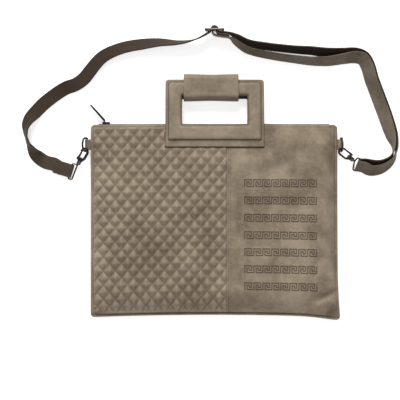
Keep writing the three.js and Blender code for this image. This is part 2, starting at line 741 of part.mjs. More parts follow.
// The strap's runs on the ground: places across as shares of the bag's width, and up from its eyes
// as shares of the strap's span, the lean of its width from upright, and how far it is lifted, in
// shares of its width.
// From the left eye round to the slider:
const leftRun = [
  { across: -0.647, up: 0.004, lean: -88, lift: 0.12 },
  { across: -0.679, up: 0.014, lean: -88, lift: 0.05 },
  { across: -0.703, up: 0.031, lean: -85 },
  { across: -0.721, up: 0.052, lean: -70 },
  { across: -0.736, up: 0.076, lean: -40 },
  { across: -0.751, up: 0.109, lean: -16 },
  { across: -0.76, up: 0.145, lean: -12 },
  { across: -0.763, up: 0.181, lean: -24 },
  { across: -0.759, up: 0.215, lean: -45 },
  { across: -0.746, up: 0.246, lean: -65 },
  { across: -0.728, up: 0.272, lean: -80 },
  { across: -0.695, up: 0.316, lean: -88 },
  { across: -0.647, up: 0.365, lean: -90 },
  { across: -0.598, up: 0.404, lean: -90 },
  { across: -0.562, up: 0.42, lean: -85 },
  { across: -0.529, up: 0.45, lean: -84 },
  { across: -0.501, up: 0.494, lean: -80 },
  { across: -0.453, up: 0.562, lean: -72 },
  { across: -0.372, up: 0.609, lean: -62 },
  { across: -0.291, up: 0.628, lean: -56 },
  { across: -0.218, up: 0.637, lean: -38 },
  { across: -0.154, up: 0.635, lean: -22 },
  { across: -0.105, up: 0.641, lean: -11, lift: 0.09 },
  { across: -0.069, up: 0.654, lean: -4, lift: 0.17 },
];
// Two strands from the slider round to the right eye, apart in shares of the strap's width:
const rightRun = [
  { across: 0.089, up: 0.653, lean: 16, apart: 0.38, lift: 0.17, liftInner: 0.17 },
  { across: 0.137, up: 0.616, lean: 25, apart: 0.5, lift: 0.05, liftInner: 0.05 },
  { across: 0.202, up: 0.597, lean: 27, apart: 0.6 },
  { across: 0.299, up: 0.579, lean: 28, apart: 0.68 },
  { across: 0.396, up: 0.567, lean: 33, apart: 0.76 },
  { across: 0.461, up: 0.562, lean: 40, apart: 0.62 },
  { across: 0.525, up: 0.567, lean: 46, apart: 0.4 },
  { across: 0.574, up: 0.57, lean: 60, apart: 0.25 },
  { across: 0.606, up: 0.556, lean: 70, apart: 0.15 },
  { across: 0.624, up: 0.517, lean: 69, apart: 0.12 },
  { across: 0.639, up: 0.45, lean: 67, apart: 0.12 },
  { across: 0.657, up: 0.388, lean: 67, apart: 0.12 },
  { across: 0.675, up: 0.326, lean: 68, apart: 0.12 },
  { across: 0.693, up: 0.264, lean: 66, apart: 0.12 },
  { across: 0.709, up: 0.202, lean: 56, apart: 0.14 },
  { across: 0.721, up: 0.155, lean: 42, apart: 0.16 },
  { across: 0.731, up: 0.114, lean: 16, apart: 0.18 },
  { across: 0.733, up: 0.078, lean: 0, apart: 0.2 },
  { across: 0.725, up: 0.041, lean: -15, apart: 0.23 },
  { across: 0.703, up: 0.01, lean: -30, apart: 0.28 },
  { across: 0.671, up: -0.01, lean: -42, apart: 0.36 },
  { across: 0.635, up: -0.013, lean: -49, apart: 0.42, lift: 0.06, liftInner: 0 },
  { across: 0.608, up: -0.002, lean: -50, apart: 0.26, lift: 0.17, liftInner: 0.01 },
];

const restGap = 0.15;
function restingHeight(lean) {
  const angle = rad(lean);
  return (Math.abs(Math.cos(angle)) * strapWidth + Math.abs(Math.sin(angle)) * strapThick) / 2;
}

// Stations along a run: a place and the strap's width direction there. side is the strand's
// place beside the run's middle: 0, or -1 for the outer and 1 for the inner strand.
function stations(rows, side = 0) {
  const places = new THREE.CatmullRomCurve3(
    rows.map((r) => vec(r.across * bagWidth, tabY - eyeDrop + r.up * strapSpan, 0)),
  );
  const blend = (name, t) => {
    const k = Math.min(Math.floor(t), rows.length - 2);
    return lerp(rows[k][name] ?? 0, rows[k + 1][name] ?? 0, smooth(t - k));
  };
  const found = [];
  for (let k = 0; k < rows.length - 1; k += 1) {
    const from = places.getPoint(k / (rows.length - 1));
    const to = places.getPoint((k + 1) / (rows.length - 1));
    const steps = Math.max(1, Math.round(from.distanceTo(to) / strapStep));
    for (let i = 0; i < steps + (k === rows.length - 2 ? 1 : 0); i += 1) {
      const t = k + i / steps;
      const place = places.getPoint(t / (rows.length - 1));
      const along = places.getTangent(t / (rows.length - 1));
      const lean = blend('lean', t);
      const apart = blend('apart', t) * strapWidth;
      const right = along.clone().cross(up).normalize();
      place.addScaledVector(right, side * apart / 2);
      const sin = Math.sin(rad(Math.abs(lean)));
      const stacked = (strapThick + fit + 0.1 - apart * Math.cos(rad(lean))) / Math.max(sin, 0.3);
      const onTop = side !== 0 && side === Math.sign(lean) ? Math.max(0, stacked) : 0;
      const lift = blend(side > 0 && rows[0].liftInner !== undefined ? 'liftInner' : 'lift', t) * strapWidth;
      place.z = restingHeight(lean) + restGap + onTop + lift;
      found.push({ place, across: strapAcross(along, lean) });
    }
  }
  return found;
}

// Half a turn round a bar, from one face of the strap's run to the other
function roundBar({ centre, bar }, toHook, from) {
  const radius = eyeWire / 2 + fit + strapThick / 2;
  return evenly(0, Math.PI, 6).map((angle) => ({
    place: centre.clone().addScaledVector(from, radius * Math.cos(angle))
      .addScaledVector(toHook, radius * Math.sin(angle)),
    across: bar,
  }));
}

// Round the slider: places in plan, in millimetres from its middle bar
const sliderPass = (rows) => rows.map(([x, y]) => ({
  place: vec(sliderCentre.x + x, sliderCentre.y + y, sliderCentre.z), across: up,
}));
const wrapRadius = sliderWire / 2 + fit + strapThick / 2;
const passRadius = wrapRadius + strapThick + fit;
const arcOver = (radius) => evenly(Math.PI, 0, 6).map((a) => [radius * Math.cos(a), radius * Math.sin(a)]);
const throughSlider = sliderPass([
  [-14, -7.4], [-9.2, -4.6], [-6, -2.6], ...arcOver(passRadius),
  [passRadius + 0.7, -2.3], [passRadius + 2.6, -3.4], [13, -3.7], [19, -4.2],
]);
const sewnRound = sliderPass([
  [22, -11.4], [12, -9.9], [4, -8.6], [-0.4, -7.2], [-2.6, -4.9], ...arcOver(wrapRadius),
  [wrapRadius + 0.2, -2.6], [wrapRadius + 1.8, -5.2], [8, -6.5], [14, -7], [22, -8.3],
]);

function strap() {
  const backFrom = leftEye.away;
  const below = up.clone().negate();
  const lapZ = strapThick / 2 + restGap;
  const leftBar = { centre: leftEye.centre, bar: leftEye.bar };
  const beside = (reach, z) => ({
    place: vec(leftEye.centre.x, leftEye.centre.y, z).addScaledVector(backFrom, reach), across: leftEye.bar,
  });
  const mainZ = lapZ + strapThick + 2 * fit;
  const path = [
    beside(lapLength, lapZ), beside(lapLength / 2, lapZ), beside(4, lapZ),
    ...roundBar(leftBar, backFrom.clone().negate(), below),
    beside(5, mainZ + 1.8), beside(10, mainZ + 0.7), beside(lapLength * 0.75, mainZ),
    ...stations(leftRun),
    ...throughSlider,
    ...stations(rightRun, -1),
  ];
  const face = rightEye.bar.clone().cross(rightEye.away).normalize();
  path.push(...roundBar(rightEye, rightEye.away.clone().negate(), face.z > 0 ? face : face.negate()));
  path.push(...stations(rightRun, 1).reverse(), ...sewnRound);
  return band(path);
}

// A flat band through stations, with bevelled edges
function band(path) {
  const half = strapWidth / 2;
  const thick = strapThick / 2;
  return skin(path.map(({ place, across }, k) => {
    const before = path[Math.max(k - 1, 0)].place;
    const after = path[Math.min(k + 1, path.length - 1)].place;
    const along = after.clone().sub(before).normalize();
    const wide = across.clone().addScaledVector(along, -across.dot(along)).normalize();
    if (k > 0 && wide.dot(path[k - 1].wide) < 0) wide.negate();
    path[k].wide = wide;
    const face = along.clone().cross(wide);
    return [[half, thick], [-half, thick], [-half, -thick], [half, -thick]]
      .map(([w, n]) => place.clone().addScaledVector(wide, w).addScaledVector(face, n));
  }));
}
add('strap', strap(), colours.strap);

export default bag;
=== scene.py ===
"""A zipped leather bag with a quilted front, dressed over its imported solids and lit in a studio."""
import logging
import math
from dataclasses import dataclass, field
from enum import Enum
from typing import Callable, Iterable, Iterator, Optional, Sequence

import bpy
from mathutils import Matrix, Vector, noise


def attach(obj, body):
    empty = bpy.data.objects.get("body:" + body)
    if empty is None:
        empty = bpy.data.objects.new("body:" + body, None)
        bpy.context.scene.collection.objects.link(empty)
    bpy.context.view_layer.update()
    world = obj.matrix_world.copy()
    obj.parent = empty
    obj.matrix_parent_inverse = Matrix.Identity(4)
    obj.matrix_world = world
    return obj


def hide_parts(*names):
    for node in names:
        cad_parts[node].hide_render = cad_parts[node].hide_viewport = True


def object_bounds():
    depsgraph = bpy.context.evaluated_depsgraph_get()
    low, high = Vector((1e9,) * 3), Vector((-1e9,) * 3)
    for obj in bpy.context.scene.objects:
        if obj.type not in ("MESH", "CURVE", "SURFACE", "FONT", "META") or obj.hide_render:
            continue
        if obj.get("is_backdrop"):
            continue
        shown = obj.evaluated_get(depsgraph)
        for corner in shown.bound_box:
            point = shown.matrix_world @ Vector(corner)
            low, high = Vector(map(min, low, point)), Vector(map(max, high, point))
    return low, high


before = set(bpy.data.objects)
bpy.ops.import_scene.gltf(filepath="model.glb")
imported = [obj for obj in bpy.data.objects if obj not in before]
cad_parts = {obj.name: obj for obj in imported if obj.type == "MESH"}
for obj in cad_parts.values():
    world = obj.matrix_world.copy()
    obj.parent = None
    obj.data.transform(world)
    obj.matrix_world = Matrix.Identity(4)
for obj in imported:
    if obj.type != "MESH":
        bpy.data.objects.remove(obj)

MM = 0.001
LOG = logging.getLogger("bag")
CAD_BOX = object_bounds()

Piece = bpy.types.Object
Material = bpy.types.Material
Point = tuple[float, float, float]
Height = Callable[[float, float], float]

UP = Vector((0, 0, 1))
# A Wave texture of scale 1 repeats over this length, which scales its ribs to millimetres
WAVE_LENGTH = math.tau / 20


def srgb(code: str) -> tuple[float, float, float, float]:
    """Turns an sRGB hex colour to linear.

    Args:
        code: six hex digits after a hash.

    Returns:
        Linear red, green, blue and alpha.
    """
    parts = [int(code[k:k + 2], 16) / 255 for k in (1, 3, 5)]
    return (*(p / 12.92 if p <= 0.04045 else ((p + 0.055) / 1.055) ** 2.4 for p in parts), 1.0)


def smooth_step(t: float) -> float:
    """Returns a soft step from 0 at t = 0 to 1 at t = 1."""
    s = min(max(t, 0.0), 1.0)
    return s * s * (3 - 2 * s)


def bell(x: float, width: float) -> float:
    """Returns a bell of height 1 and the given half width at x."""
    return math.exp(-(x / width) ** 2)


def evenly(low: float, high: float, count: int) -> list[float]:
    """Returns count + 1 values evenly from low to high."""
    return [low + (high - low) * k / count for k in range(count + 1)]


def arc(radius: float, start: float, stop: float, count: int) -> list[tuple[float, float]]:
    """Lists points along an arc round the origin.

    Args:
        radius: the arc's radius.
        start, stop: its first and last angle, in quarter turns.
        count: steps between them.

    Returns:
        The points, both ends with them.
    """
    return [(radius * math.cos(a * math.pi / 2), radius * math.sin(a * math.pi / 2))
            for a in evenly(start, stop, count)]


def hermite(p1: Vector, p2: Vector, m1: Vector, m2: Vector, t: float) -> Vector:
    """Returns the place a share t along the curve from p1 to p2 that leaves and arrives as m1 and m2."""
    return ((2 * p1 - 2 * p2 + m1 + m2) * t ** 3 + (3 * p2 - 3 * p1 - 2 * m1 - m2) * t ** 2
            + m1 * t + p1)


def outside_out(obj: Piece) -> Piece:
    """Turns all faces of a closed mesh outwards and returns its object."""
    in_edit(obj, lambda: bpy.ops.mesh.normals_make_consistent(inside=False))
    return obj


def active(obj: Piece) -> Piece:
    """Makes an object the only selected and the active one.

    Args:
        obj: the object.

    Returns:
        The same object.
    """
    bpy.ops.object.select_all(action="DESELECT")
    obj.select_set(True)
    bpy.context.view_layer.objects.active = obj
    return obj


def in_edit(obj: Piece, *steps: Callable[[], object]) -> None:
    """Runs edit-mode operators on all of obj's mesh.

    Args:
        obj: the mesh object.
        steps: the operators to run, in order.
    """
    active(obj)
    bpy.ops.object.mode_set(mode="EDIT")
    bpy.ops.mesh.select_all(action="SELECT")
    for step in steps:
        step()
    bpy.ops.object.mode_set(mode="OBJECT")


def modify(obj: Piece, kind: str, **settings: object) -> None:
    """Adds a modifier to obj, sets it up and applies it.

    Args:
        obj: the mesh object.
        kind: the modifier's type.
        settings: its settings.
    """
    active(obj)
    modifier = obj.modifiers.new(kind.lower(), kind)
    for key, value in settings.items():
        setattr(modifier, key, value)
    bpy.ops.object.modifier_apply(modifier=modifier.name)


def shade(obj: Piece, angle: float = 40.0) -> None:
    """Shades obj smooth, except over edges sharper than angle degrees."""
    active(obj)
    bpy.ops.object.shade_smooth_by_angle(angle=math.radians(angle))


def grid(name: str, columns: int, rows: int) -> Piece:
    """Adds a unit grid of columns by rows cells, ready to be shaped.

    Args:
        name: the piece's name.
        columns: cells along X.
        rows: cells along Y.

    Returns:
        The new object. Vertex k is in column k % (columns + 1) and row k // (columns + 1).
    """
    bpy.ops.object.select_all(action="DESELECT")
    bpy.ops.mesh.primitive_grid_add(x_subdivisions=columns, y_subdivisions=rows, size=2, calc_uvs=True)
    obj = bpy.context.object
    obj.name = obj.data.name = name
    return obj


def place(obj: Piece, points: Iterable[Sequence[float]]) -> None:
    """Moves an object's vertices.

    Args:
        obj: the mesh object.
        points: their new places in millimetres, in order.
    """
    flat = [value * MM for point in points for value in point]
    obj.data.vertices.foreach_set("co", flat)
    obj.data.update()


def paint(obj: Piece, name: str, values: Iterable[float]) -> None:
    """Stores one number a vertex in a named attribute that materials read."""
    layer = obj.data.attributes.new(name, "FLOAT", "POINT")
    layer.data.foreach_set("value", list(values))


def skin(name: str, rings: Sequence[Sequence[Sequence[float]]], closed: bool = False,
         marks: Optional[dict[str, Sequence[float]]] = None) -> Piece:
    """Makes a closed skin over rings of points, from a grid that is bent into a tube.

    Args:
        name: the piece's name.
        rings: rings of equally many points, in millimetres.
        closed: whether the last ring joins the first.
        marks: attributes that materials read, each with its value at every point of a ring.

    Returns:
        The new object, with its ends capped unless it is closed.
    """
    looped = list(rings) + ([rings[0]] if closed else [])
    count = len(rings[0])
    obj = grid(name, count, len(looped) - 1)
    place(obj, (point for ring in looped for point in (*ring, ring[0])))
    for mark, values in (marks or {}).items():
        paint(obj, mark, [*values, values[0]] * len(looped))
    in_edit(obj, lambda: bpy.ops.mesh.remove_doubles(threshold=1e-6))
    if not closed:
        in_edit(
            obj,
            lambda: bpy.ops.mesh.select_all(action="DESELECT"),
            lambda: bpy.ops.mesh.select_non_manifold(),
            lambda: bpy.ops.mesh.edge_face_add(),
        )
    return outside_out(obj)


def join(name: str, pieces: Sequence[Piece]) -> Piece:
    """Joins pieces into one object.

    Args:
        name: its name.
        pieces: the objects to join.

    Returns:
        The joined object.
    """
    active(pieces[0])
    for piece in pieces:
        piece.select_set(True)
    bpy.ops.object.join()
    joined = bpy.context.object
    joined.name = joined.data.name = name
    return joined


def dress(obj: Piece, material: Material, slot: str, body: str, *nodes: str) -> None:
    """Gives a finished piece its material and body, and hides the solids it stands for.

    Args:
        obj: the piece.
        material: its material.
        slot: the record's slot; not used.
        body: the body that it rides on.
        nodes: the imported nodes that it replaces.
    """
    obj.data.materials.clear()
    obj.data.materials.append(material)
    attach(obj, body)
    if nodes:
        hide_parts(*nodes)
    LOG.info("%s: %d faces, on %s, for %s", obj.name, len(obj.data.polygons), body, nodes or "itself")


class Graph:
    """A material's node tree under construction."""

    def __init__(self, name: str) -> None:
        """Starts an empty material.

        Args:
            name: its name.
        """
        self.material = bpy.data.materials.new(name)
        self.material.use_nodes = True
        self.tree = self.material.node_tree
        self.tree.nodes.clear()
        self.output = self.add("OutputMaterial")

    def add(self, kind: str, links: Optional[dict] = None, inputs: Optional[dict] = None,
            **settings: object) -> bpy.types.Node:
        """Adds a node.

        Args:
            kind: the node's type, without the ShaderNode before it.
            links: input name or number to the socket that feeds it.
            inputs: input name or number to its fixed value.
            settings: the node's own settings.

        Returns:
            The new node.
        """
        node = self.tree.nodes.new(f"ShaderNode{kind}")
        for key, value in settings.items():
            setattr(node, key, value)
        for key, value in (inputs or {}).items():
            node.inputs[key].default_value = value
        for key, socket in (links or {}).items():
            self.tree.links.new(socket, node.inputs[key])
        return node

    def finish(self, shader: bpy.types.Node) -> Material:
        """Links the shader to the output and returns the material."""
        self.tree.links.new(shader.outputs[0], self.output.inputs["Surface"])
        return self.material


@dataclass(frozen=True)
class Leather:
    """Embossed polyurethane leather: a matte, slightly waxy skin whose pigment is wiped on unevenly."""

    name: str
    light: str
    middle: str
    dark: str
    inside: str = "#3a2e24"
    burnish_and_shade: str = "#4a3b2d"
    roughness: float = 0.56
    specular: float = 0.35
    marbling: float = 26.0
    mottling: float = 5.0
    creasing: float = 3.5
    grain: float = 1.3
    grain_depth: float = 0.21

    def material(self) -> Material:
        """Builds the material, which reads the pressed and inside attributes where a piece has them.

        Returns:
            The material.
        """
        graph = Graph(self.name)
        coords = graph.add("TexCoord").outputs["Object"]
        # The rubbed pigment: cloudy patches of lighter and darker taupe, a few centimetres across
        cloud = graph.add("TexNoise", {"Vector": coords}, {
            "Scale": 1 / (self.marbling * MM), "Detail": 6.0, "Roughness": 0.55, "Distortion": 0.3})
        # Fine mottling of a few millimetres
        mottle = graph.add("TexNoise", {"Vector": coords}, {
            "Scale": 1 / (self.mottling * MM), "Detail": 3.0, "Roughness": 0.6})
        blend = graph.add("Mix", {2: cloud.outputs["Fac"], 3: mottle.outputs["Fac"]},
                          {0: 0.32}, data_type="FLOAT")
        # Broad worn and waxed areas, some three times as wide as the marbling
        wear_and_shade = graph.add("TexNoise", {"Vector": coords}, {
            "Scale": 1 / (3.1 * self.marbling * MM), "Detail": 2.0, "Distortion": 0.6})
        tone = graph.add("Mix", {2: blend.outputs[0], 3: wear_and_shade.outputs["Fac"]},
                         {0: 0.38}, data_type="FLOAT")
        ramp = graph.add("ValToRGB", {"Fac": tone.outputs[0]})
        stops = ramp.color_ramp.elements
        stops[0].position, stops[0].color = 0.38, srgb(self.dark)
        stops[1].position, stops[1].color = 0.62, srgb(self.light)
        stops.new(0.5).color = srgb(self.middle)
        # Heat pressing burnishes the grooves dark brown; through the pressed attribute the same colour also
        # paints shade into creases, dents, seam and hem lines, rolled edges and folds
        pressed = graph.add("Attribute", attribute_name="pressed")
        burnish_and_shade = graph.add("Mix", {0: pressed.outputs["Fac"], 6: ramp.outputs["Color"]},
                          {7: srgb(self.burnish_and_shade)}, data_type="RGBA")
        # The strip's and the sheets' unfinished inner side is dark; the same attribute also paints shade on
        # the strap's left run and strands and on the back handle's base
        inside = graph.add("Attribute", attribute_name="inside")
        colour = graph.add("Mix", {0: inside.outputs["Fac"], 6: burnish_and_shade.outputs[2]},
                           {7: srgb(self.inside)}, data_type="RGBA")
        # Embossed pebble grain of half a millimetre, drawn at over twice that so that it shows
        pebble = graph.add("TexVoronoi", {"Vector": coords}, {
            "Scale": 1 / (self.grain * MM), "Randomness": 0.9}, feature="SMOOTH_F1")
        crease = graph.add("TexNoise", {"Vector": coords}, {
            "Scale": 1 / (self.creasing * MM), "Detail": 4.0})
        relief = graph.add("Mix", {2: pebble.outputs["Distance"], 3: crease.outputs["Fac"]},
                           {0: 0.45}, data_type="FLOAT")
        bump = graph.add("Bump", {"Height": relief.outputs[0]}, {
            "Strength": 0.35, "Distance": self.grain_depth * MM})
        rough = graph.add("MapRange", {"Value": cloud.outputs["Fac"]}, {
            "From Min": 0.3, "From Max": 0.7,
            "To Min": self.roughness - 0.06, "To Max": self.roughness + 0.08})
        shader = graph.add("BsdfPrincipled", {
            "Base Color": colour.outputs[2], "Roughness": rough.outputs[0], "Normal": bump.outputs[0],
        }, {"IOR": 1.46, "Specular IOR Level": self.specular, "Sheen Weight": 0.05, "Sheen Roughness": 0.5})
        return graph.finish(shader)


@dataclass(frozen=True)
class Plating:
    """Gunmetal plating on cast zinc and steel wire: near black, satin, paler at the edges where it wears
    thin.
    """

    name: str = "gunmetal_plated_zinc"
    colour: str = "#3b3734"
    wear_and_shade: str = "#6a645e"
    roughness: float = 0.33
    casting: float = 2.5

    def material(self) -> Material:
        """Builds the material.

        Returns:
            The material.
        """
        graph = Graph(self.name)
        coords = graph.add("TexCoord").outputs["Object"]
        cast = graph.add("TexNoise", {"Vector": coords}, {
            "Scale": 1 / (self.casting * MM), "Detail": 4.0})
        # Worn paler where the surface turns sharply
        edge = graph.add("NewGeometry").outputs["Pointiness"]
        wear = graph.add("MapRange", {"Value": edge}, {"From Min": 0.52, "From Max": 0.62})
        colour = graph.add("Mix", {0: wear.outputs[0]}, {
            6: srgb(self.colour), 7: srgb(self.wear_and_shade)}, data_type="RGBA")
        rough = graph.add("MapRange", {"Value": cast.outputs["Fac"]}, {
            "To Min": self.roughness - 0.07, "To Max": self.roughness + 0.1})
        bump = graph.add("Bump", {"Height": cast.outputs["Fac"]}, {
            "Strength": 0.12, "Distance": 0.1 * MM})
        shader = graph.add("BsdfPrincipled", {
            "Base Color": colour.outputs[2], "Roughness": rough.outputs[0], "Normal": bump.outputs[0],
        }, {"Metallic": 1.0})
        return graph.finish(shader)


@dataclass(frozen=True)
class Thread:
    """Bonded polyester sewing thread: a slightly glossy twist, a shade darker than the leather."""

    name: str = "bonded_polyester_thread"
    colour: str = "#6b5b4a"
    lit: str = "#8a7965"
    twist: float = 0.94

    def material(self) -> Material:
        """Builds the material.

        Returns:
            The material.
        """
        graph = Graph(self.name)
        coords = graph.add("TexCoord").outputs["Object"]
        # The plies' turns, drawn about twice as long as real ones so that they show
        ply = graph.add("TexWave", {"Vector": coords}, {
            "Scale": WAVE_LENGTH / (self.twist * MM), "Distortion": 1.0}, bands_direction="DIAGONAL")
        ramp = graph.add("Mix", {0: ply.outputs["Fac"]}, {
            6: srgb(self.colour), 7: srgb(self.lit)}, data_type="RGBA")
        bump = graph.add("Bump", {"Height": ply.outputs["Fac"]}, {
            "Strength": 0.4, "Distance": 0.1 * MM})
        shader = graph.add("BsdfPrincipled", {
            "Base Color": ramp.outputs[2], "Normal": bump.outputs[0]}, {"Roughness": 0.5})
        return graph.finish(shader)


@dataclass(frozen=True)
class Tape:
    """Woven polyester zip tape, or the nylon coil sewn to it: dull taupe with a fine rib."""

    name: str
    colour: str
    groove_shade: str = "#4d4135"
    rib: float = 2.17
    roughness: float = 0.8

    def material(self) -> Material:
        """Builds the material.

        Returns:
            The material.
        """
        graph = Graph(self.name)
        coords = graph.add("TexCoord").outputs["Object"]
        # Ribs across the tape, drawn some two millimetres apart so that they show; the grooves between them
        # are painted darker as shade on the tape, and on the coil, whose own colour is darker, the same
        # groove colour comes out lighter
        rib = graph.add("TexWave", {"Vector": coords}, {
            "Scale": WAVE_LENGTH / (self.rib * MM)}, bands_direction="X")
        shade_of = graph.add("Mix", {0: rib.outputs["Fac"]}, {
            6: srgb(self.groove_shade), 7: srgb(self.colour)}, data_type="RGBA")
        bump = graph.add("Bump", {"Height": rib.outputs["Fac"]}, {
            "Strength": 0.5, "Distance": 0.3 * MM})
        shader = graph.add("BsdfPrincipled", {
            "Base Color": shade_of.outputs[2], "Normal": bump.outputs[0]}, {"Roughness": self.roughness})
        return graph.finish(shader)


@dataclass(frozen=True)
class Fold:
    """A dent or crease of the front: its middle and reach in shares of the bag, turn and depth."""

    across: float
    up: float
    along: float
    wide: float
    turn: float
    depth: float


@dataclass(frozen=True)
class BagForm:
    """The bag's soft main form, as heights in millimetres over its outline."""

    width: float = 360.0
    height: float = 281.0
    leather: float = 1.8
    # The swollen body: heights of its rims and belly, and how far in each face rises
    rim: float = 9.1
    back_rim: float = 5.2
    belly: float = 18.0
    mouth_share: float = 0.37
    side_reach: float = 45.0
    mouth_reach: float = 120.0
    back_fall: float = 1.25
    mouth_lift: float = 0.45
    # The planes of both handles, and how far round them the panels are held
    handle_x: float = 1.0
    handle_half: float = 71.8
    handle_low: float = 107.5
    handle_z: float = 21.0
    handle_slope: float = 0.1
    handle_bed: float = 0.3
    back_handle_z: float = 6.3
    back_handle_slope: float = 0.034
    back_handle_drop: float = 4.4
    held_reach: float = 30.0
    lifted_reach: float = 40.0
    # The turned edge with its seam
    turned_edge: float = 4.0
    seam_in: float = 3.7
    seam_half: float = 0.7
    seam_drop: float = 0.95
    seam_faint: float = 0.22
    lip: float = 1.9
    lip_drop: float = 1.5
    # The folds, with a gain on their depths and on the painted shade in their dents
    fold_gain: float = 1.5
    dent_shade_gain: float = 1.5
    folds: tuple[Fold, ...] = (
        Fold(0.235, 0.285, 0.12, 0.03, 20, -0.11), Fold(0.37, 0.3, 0.09, 0.045, 35, 0.08),
        Fold(0.43, 0.21, 0.07, 0.04, 60, 0.07), Fold(0.47, 0.30, 0.06, 0.02, 110, -0.2),
        Fold(0.08, 0.21, 0.07, 0.045, 150, -0.08), Fold(0.38, 0.13, 0.07, 0.03, 25, -0.06),
        Fold(0.458, -0.414, 0.055, 0.017, 28, 0.26), Fold(0.463, -0.372, 0.05, 0.015, 31, -0.26),
        Fold(0.45, -0.31, 0.05, 0.025, 50, 0.12), Fold(0.475, -0.462, 0.035, 0.02, 30, -0.22),
        Fold(0.405, -0.4, 0.035, 0.02, 45, -0.09), Fold(0.487, -0.254, 0.04, 0.012, 100, -0.16),
        Fold(0.485, -0.12, 0.09, 0.02, 92, -0.14), Fold(0.13, -0.41, 0.09, 0.03, 10, -0.06),
        Fold(-0.36, 0.31, 0.12, 0.06, 20, -0.05), Fold(-0.2, -0.34, 0.12, 0.05, 160, -0.05),
        Fold(0.487, 0.4, 0.12, 0.022, 90, -0.1),
    )
    # The outline in plan: rounded corners, a flared side, a hollow hem and one corner that stands out
    corner: float = 6.0
    side_flare: float = 1.6
    hem_hollow: float = 3.5
    ear: tuple[float, float] = (2.4, -4.2)
    ear_reach: float = 34.0
    # Slight waves all over: height, length and seed of each
    waves: tuple[tuple[float, float, float], ...] = ((0.55, 46, 1.7), (0.22, 17, 5.1))
    wave_margin: float = 25.0

    @staticmethod
    def rise(t: float) -> float:
        """Returns how far a face has risen a share t of the way in from its edge."""
        s = min(max(t, 0.0), 1.0)
        return (2 * s - s * s) ** 0.7

    def in_plan(self, x: float, y: float) -> tuple[float, float]:
        """Bends the rectangle to the real outline: a hollow hem and a corner that stands out.

        Args:
            x, y: a place in the rectangle.

        Returns:
            The place in the real outline.
        """
        u, v = 2 * x / self.width, 2 * y / self.height
        low = (1 - v) / 2
        a = max(0.0, abs(x) - self.width / 2 + self.corner)
        b = max(0.0, abs(y) - self.height / 2 + self.corner)
        keep = max(a, b) / math.hypot(a, b) if a and b else 1.0
        ear = bell(math.hypot(self.width / 2 - x, self.height / 2 + y), self.ear_reach)
        flare = self.side_flare * max(0.0, u) * low ** 3
        hollow = self.hem_hollow * (1 - u * u) * low
        return (x - math.copysign(a * (1 - keep), u) + flare + self.ear[0] * ear,
                y - math.copysign(b * (1 - keep), v) + hollow + self.ear[1] * ear)

    def edge(self, x: float, y: float) -> float:
        """Returns the distance to the nearest edge of the outline."""
        return min(self.width / 2 - abs(x), self.height / 2 - abs(y))

    def creases(self, x: float, y: float) -> float:
        """Adds up the named folds.

        Args:
            x, y: the place, in millimetres.

        Returns:
            The height that they add.
        """
        total = 0.0
        for f in self.folds:
            dx, dy = x - f.across * self.width, y - f.up * self.height
            c, s = math.cos(math.radians(f.turn)), math.sin(math.radians(f.turn))
            p, q = (dx * c + dy * s) / f.along, (dy * c - dx * s) / f.wide
            total += f.depth * bell(math.hypot(p, q), self.width)
        return self.fold_gain * self.belly * total

    def dent_shade(self, x: float, y: float) -> float:
        """Returns how much painted shade darkens a dent, from 0."""
        return max(0.0, -self.creases(x, y)) / self.belly * self.dent_shade_gain

    def handle_lines(self) -> list[float]:
        """Returns the grid lines that the front handle's lower edge needs in a panel under it."""
        return [self.handle_low - down for down in (-0.3, 0.4, 1.1, 2.0, 3.0)]

    def handle_plane(self, y: float) -> float:
        """Returns the height of the front handle's underside."""
        return self.handle_z - self.handle_slope * (y - self.handle_low)

    def back_handle_plane(self, y: float) -> float:
        """Returns how far the back handle's plane has risen from its lower edge."""
        return max(0.0, self.back_handle_slope * (y - self.handle_low + self.back_handle_drop))

    def swell(self, x: float, y: float) -> tuple[float, float]:
        """Returns how far the bag has swollen, in from its sides and up from its hem."""
        return (self.rise((self.width / 2 - self.turned_edge - abs(x)) / self.side_reach),
                self.rise((y + self.height / 2 - self.turned_edge) / self.side_reach))

    def by_handle(self, x: float, y: float, low: float, reach: float) -> float:
        """Returns how firmly a handle holds a panel: 1 under it, 0 beyond its reach.

        Args:
            x, y: the place.
            low: the handle's lower edge.
            reach: how far its hold spreads.

        Returns:
            The hold, from 0 to 1.
        """
        beside = max(0.0, (abs(x - self.handle_x) - self.handle_half) / reach)
        return smooth_step(1 - math.hypot(beside, max(0.0, (low - y) / reach)))

    def front(self, x: float, y: float) -> float:
        """Works out the front's outer face.

        Args:
            x, y: the place, in millimetres.

        Returns:
            Its height.
        """
        side, hem = self.swell(x, y)
        mouth = self.rise((self.height / 2 - y) / self.mouth_reach)
        belly = side * hem * (self.mouth_share + (1 - self.mouth_share) * mouth)
        free = self.rim + self.belly * belly + self.creases(x, y) * min(side, hem)
        held = self.by_handle(x, y, self.handle_low, self.held_reach)
        return free + (self.handle_plane(y) - self.handle_bed - free) * held

    def back(self, x: float, y: float) -> float:
        """Works out the back's outer face, which lies on the ground.

        Args:
            x, y: the place, in millimetres.

        Returns:
            Its height.
        """
        side, hem = self.swell(x, y)
        mouth = smooth_step((y - self.height / 2 + self.lifted_reach) / self.lifted_reach)
        free = self.back_rim * max(1 - min(1.0, self.back_fall * side * hem), self.mouth_lift * mouth)
        held = self.by_handle(x, y, self.handle_low - self.back_handle_drop, self.lifted_reach)
        return free + (self.back_handle_z + self.back_handle_plane(y) - free) * held

    def hem_line(self, x: float, y: float) -> float:
        """Returns the strength of the line behind the turned edge: full at the hem, faint elsewhere."""
        hem = bell(y + self.height / 2 - self.seam_in, self.seam_half)
        return max(hem, self.seam_faint * bell(self.edge(x, y) - self.seam_in, self.seam_half))

    def rolled(self, x: float, y: float) -> float:
        """Returns the drop at the turned edge: a rolled lip and the line of the seam behind it."""
        lip = max(0.0, 1 - self.edge(x, y) / self.lip)
        return -self.lip_drop * lip * lip - self.seam_drop * self.hem_line(x, y)

